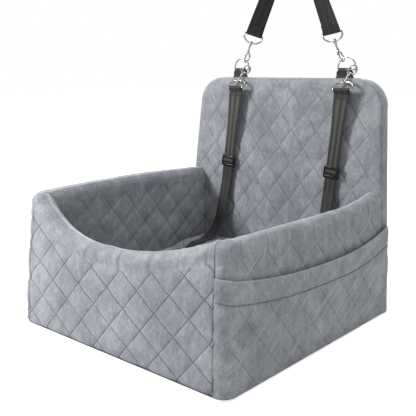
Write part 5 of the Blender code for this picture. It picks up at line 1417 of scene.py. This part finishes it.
def make_tether(side, route, rest, web, plastic):
    """Tether from the upper hook's eye through the slider to the lower hook's eye, and the slider."""
    eye = hook_frames("tether_hook_" + side)[1]
    bar = eye @ Vector((0, 0, -EYE_DROP))
    run_points = [before_back(place) for place in route]
    web_across = Vector((1, 0, 0))
    down = (run_points[0] - bar).normalized()
    out = web_across.cross(down).normalized()
    first_run = out.cross(web_across)
    first = fold_path(bar, first_run, out)
    start = first[-1]
    straight_end = start + down * TETHER_STRAIGHT
    straight = [start.lerp(straight_end, t) for t in np.linspace(0, 1, 50)[1:-1]]

    lift = WEB_THICK / 2 + CLEAR * 2
    resting = [on_cushion(before_back(place), lift) for place in rest]
    low_eye = hook_frames("lead_hook_" + side)[1]
    axis, across = Vector(low_eye.col[2][:3]), Vector(low_eye.col[0][:3])
    low_bar = low_eye @ Vector((0, 0, -EYE_DROP))
    low_out = across.cross(axis).normalized()
    last = list(reversed(fold_path(low_bar, -axis, low_out)))
    curve = spline([straight_end] + run_points[1:] + resting + [last[0]], SPLINE_STEPS)
    landing = SPLINE_STEPS * len(run_points)
    curve[landing:-1] = [on_cushion(point, lift) for point in curve[landing:-1]]
    points = first + straight + curve + last[1:]
    bend_start = len(first) + len(straight)
    widths, stripes_and_sheen = [], []
    for i, point in enumerate(points):
        share = min(max((i - bend_start) / landing, 0), 1)
        drop = (point - start).length
        spread = TETHER_SPREAD * (1 - float(step_curve(drop, 12 * MM, 95 * MM)))
        widths.append(web_across.lerp(across, share).normalized() * (TETHER_WIDTH + spread))
        # Band strength: a faint base that paints the webbing's shine, stronger stripes above the slider, a little
        # more where the tether lies on the cushion
        above = float(step_curve(BUCKLE_DROP - drop, -4 * MM, 4 * MM)) * float(step_curve(drop, 14 * MM, 22 * MM))
        lying = float(step_curve(i, landing + bend_start - 14, landing + bend_start))
        stripes_and_sheen.append(0.28 + 0.55 * above + 0.2 * lying)
    sewn = fold_stitches(bar, first_run, out, web_across, TETHER_WIDTH)
    sewn += fold_stitches(low_bar, -axis, low_out, across, TETHER_WIDTH)
    make_webbing("tether_" + side + "_web", points, widths, web, ["tether_" + side], stripes_and_sheen, sewn)

    z = -down
    x = (web_across - z * web_across.dot(z)).normalized()
    if z.cross(x).dot(out) > 0:
        x = -x
    place = Matrix((x, z.cross(x), z)).transposed().to_4x4()
    place.translation = start + down * BUCKLE_DROP
    make_piece("buckle_" + side + "_plastic", moved(buckle_shells(), place), plastic, "buckle_" + side,
               ["buckle_" + side], sharp=40)
    reach = BUCKLE_LENGTH / 2 - BUCKLE_BAR_LENGTH - 0.3 * MM
    levels = np.linspace(-reach, reach, 17)
    rise = WEB_THICK / 2 + 0.6 * MM + 1.5 * MM * np.cos(levels / reach * math.pi / 2) ** 1.2
    path = [place @ Vector((0, y, z)) for y, z in zip(rise, levels)]
    width = Vector(place.col[0][:3]) * (TETHER_WIDTH - 1.2 * MM)
    rings, uv = ribbon(path, [width] * len(path), 0.9 * MM)
    make_piece("buckle_" + side + "_loop", [shell(rings)], web, "buckle_" + side, [], uv,
               {"band": np.zeros(len(uv))}, 60)


def make_tabs(web, steel):
    """Webbing tabs sewn into the top seam, flared at their feet, and the D-rings that they hold."""
    y, level = back_top_y(), ring_level()
    wrap = RING_WIRE + CLEAR + WEB_THICK / 2
    foot = FOLD_GAP / 2 + WEB_THICK / 2
    low = BACK_TOP - 1.5 * MM
    for side, sign in (("left", -1), ("right", 1)):
        x = TAB_CENTRE_X + sign * TAB_SPACING / 2 + RING_SHIFT
        heights = np.linspace(low, level, 15)
        rise = (heights - low) / (level - low)
        leg = foot + (wrap - foot) * step_curve(rise, 0.35, 1.0)
        wide = TAB_FOOT_WIDTH + (TAB_SHOULDER - TAB_FOOT_WIDTH) * step_curve(rise, 0, 0.42)
        wide = wide + (TAB_TOP_WIDTH - TAB_SHOULDER) * step_curve(rise, 0.72, 0.98)
        turns = np.linspace(0, math.pi, 11)[1:-1]
        path = [(-leg[i], heights[i], wide[i]) for i in range(15)]
        path += [(-wrap * math.cos(t), level + wrap * math.sin(t), TAB_TOP_WIDTH) for t in turns]
        path += [(leg[i], heights[i], wide[i]) for i in range(14, -1, -1)]
        points = [Vector((x - RING_SHIFT, y + offset, z)) for offset, z, width in path]
        widths = [Vector((width, 0, 0)) for offset, z, width in path]
        make_webbing("tab_" + side + "_web", points, widths, web, ["tab_" + side])
        turn = np.linspace(0, math.pi, 37)
        bow = [(x + RING_HALF * math.cos(a), y, level + RING_CORNER + (RING_RISE - RING_CORNER) * math.sin(a))
               for a in turn]
        corner = soften([bow[0], (x + RING_HALF, y, level), (x - RING_HALF, y, level), bow[-1]], 4.4 * MM, False, 7)
        path = list(bow) + [tuple(p) for p in corner[::-1]][1:-1]
        make_piece("d_ring_" + side + "_steel", [wire(path, RING_WIRE, (0, 1, 0), 16, True)], steel, "root",
                   ["d_ring_" + side])


def make_zip_coil(mat):
    """Zip's coil: a row of little rounded teeth that cross the gap between the tapes."""
    half = ZIP_LENGTH / 2 - ZIP_END
    count = int(half * 2 / ZIP_PITCH)
    turn = np.linspace(0, 2 * math.pi, 6, endpoint=False)
    rows = np.linspace(-1, 1, 5)
    shells = []
    for k in range(count):
        x = -half + (k + 0.5) * ZIP_PITCH
        rings = []
        for row in rows:
            size = 0.45 + 0.55 * math.sqrt(1 - row ** 4)
            rings.append([(x + 0.62 * MM * size * math.cos(a), REAR_Y + CLEAR + ZIP_RISE / 2
                           + ZIP_RISE / 2 * size * math.sin(a), ZIP_Z + row * ZIP_CHAIN / 2) for a in turn])
        shells.append(shell(rings))
    make_piece("zip_coil", shells, mat, "root", ["zip_chain"])


def dress(names, mat):
    """Give CAD nodes whose shape is already right a better material."""
    for name in names:
        mesh = frame["nodes"][name].data
        mesh.materials.clear()
        mesh.materials.append(mat)


def woven_webbing():
    """Black nylon webbing: ribs across it in a fine twill, a dull shine, two lighter lengthwise bands that are partly
    woven stripes and partly painted sheen.
    """
    mat, tree, shader, place = new_material("woven_webbing", 0.62)
    flat = node(tree, "ShaderNodeSeparateXYZ", {0: node(tree, "ShaderNodeUVMap", uv_map="web").outputs[0]})
    across, along = flat.outputs[0], flat.outputs[1]
    twill = maths(tree, "ADD", maths(tree, "DIVIDE", along, 1.7 * MM), maths(tree, "DIVIDE", across, 3.4 * MM))
    ribs = maths(tree, "PINGPONG", twill, 0.5)
    threads = maths(tree, "PINGPONG", maths(tree, "DIVIDE", across, 1.1 * MM), 0.5)
    weave = maths(tree, "ADD", ribs, maths(tree, "MULTIPLY", threads, 0.5))
    wear = noise(tree, place, 9 * MM, 3.0)
    band = node(tree, "ShaderNodeAttribute", attribute_name="band").outputs["Fac"]
    color = blend_color(tree, fit(tree, weave, 0.1, 0.65), "#111111", "#232322")
    color = blend_color(tree, fit(tree, wear, 0.35, 0.7, 0, 0.3), color, "#2C2B29")
    # Lighter lengthwise bands: woven stripes, and partly painted sheen along the straps
    color = blend_color(tree, maths(tree, "MULTIPLY", band, 0.75), color, "#58564F")
    tree.links.new(color, shader.inputs["Base Color"])
    shader.inputs["Sheen Weight"].default_value = 0.15
    shader.inputs["Sheen Roughness"].default_value = 0.4
    bumped(tree, shader, weave, 0.25 * MM, 0.6)
    return mat


def nickel():
    """Nickel-plated zinc: bright and smooth, a little uneven where it was cast and tumbled."""
    mat, tree, shader, place = new_material("nickel_plate", 0.24, 1.0)
    cast = noise(tree, place, 3 * MM, 3.0)
    color = blend_color(tree, fit(tree, cast, 0.3, 0.7), "#B9B6AF", "#D4D2CC")
    tree.links.new(color, shader.inputs["Base Color"])
    tree.links.new(fit(tree, cast, 0.3, 0.7, 0.18, 0.32), shader.inputs["Roughness"])
    bumped(tree, shader, cast, 0.08 * MM, 0.4)
    return mat


def moulded_plastic():
    """Moulded black plastic of the sliders: glossy, with faint flow marks."""
    mat, tree, shader, place = new_material("moulded_plastic", 0.22, color="#0F1012")
    flow = noise(tree, place, 6 * MM, 2.0)
    tree.links.new(blend_color(tree, fit(tree, flow, 0.35, 0.65), "#0D0E10", "#17181B"), shader.inputs["Base Color"])
    tree.links.new(fit(tree, flow, 0.3, 0.7, 0.18, 0.30), shader.inputs["Roughness"])
    bumped(tree, shader, flow, 0.05 * MM, 0.3)
    return mat


def tape_cloth():
    """Woven polyester zip tape: flat, dull grey, fine ribs along it."""
    mat, tree, shader, place = new_material("tape_cloth", 0.85)
    spot = node(tree, "ShaderNodeSeparateXYZ", {0: place})
    ribs = maths(tree, "PINGPONG", maths(tree, "DIVIDE", spot.outputs[2], 0.9 * MM), 0.5)
    color = blend_color(tree, fit(tree, ribs, 0, 0.5), "#6C6F77", "#83868D")
    tree.links.new(color, shader.inputs["Base Color"])
    bumped(tree, shader, ribs, 0.12 * MM, 0.5)
    return mat


def coil_nylon():
    """Nylon of the zip's coil: dark grey, half gloss."""
    mat, tree, shader, place = new_material("coil_nylon", 0.4)
    spots = noise(tree, place, 2 * MM, 2.0)
    tree.links.new(blend_color(tree, spots, "#4B4E55", "#5D6068"), shader.inputs["Base Color"])
    return mat


def grip_cloth():
    """Non-slip base cloth: grey oxford cloth with rows of small rubber dots."""
    mat, tree, shader, place = new_material("grip_cloth", 0.8)
    spot = node(tree, "ShaderNodeSeparateXYZ", {0: place})
    sides = [maths(tree, "POWER", maths(tree, "PINGPONG", maths(tree, "DIVIDE", spot.outputs[i], 8 * MM), 0.5), 2.0)
             for i in (0, 1)]
    dots = fit(tree, maths(tree, "ADD", sides[0], sides[1]), 0.035, 0.055, 1, 0, True)
    grain = noise(tree, place, 1.4 * MM, 2.0)
    cloth = blend_color(tree, grain, "#5C5F66", "#70737A")
    tree.links.new(blend_color(tree, dots, cloth, "#2A2B2E"), shader.inputs["Base Color"])
    tree.links.new(fit(tree, dots, 0, 1, 0.85, 0.5), shader.inputs["Roughness"])
    bumped(tree, shader, dots, 0.5 * MM, 0.5)
    return mat


def board_foam():
    """Dense foam of the base board: pale, fine open cells."""
    mat, tree, shader, place = new_material("board_foam", 0.95)
    cells = noise(tree, place, 1.6 * MM, 3.0)
    tree.links.new(blend_color(tree, fit(tree, cells, 0.3, 0.7), "#CFC8B2", "#EAE4D2"), shader.inputs["Base Color"])
    bumped(tree, shader, cells, 0.4 * MM, 0.5)
    return mat


make_stage()
velvet = crushed_velvet()
make_walls(velvet)
make_backrest(velvet)
make_cushion(velvet)
make_pocket(velvet)
webbing, steel, plastic = woven_webbing(), nickel(), moulded_plastic()
make_hooks(steel)
make_tabs(webbing, steel)
make_headrest_strap(webbing)
make_tether("left", LEFT_RUN, LEFT_REST, webbing, plastic)
make_tether("right", RIGHT_RUN, RIGHT_REST, webbing, plastic)
make_zip_coil(coil_nylon())
dress(("zip_tape_lower", "zip_tape_upper"), tape_cloth())
dress(("zip_slider", "zip_pull"), steel)
dress(("base_cloth",), grip_cloth())
dress(("base_board",), board_foam())
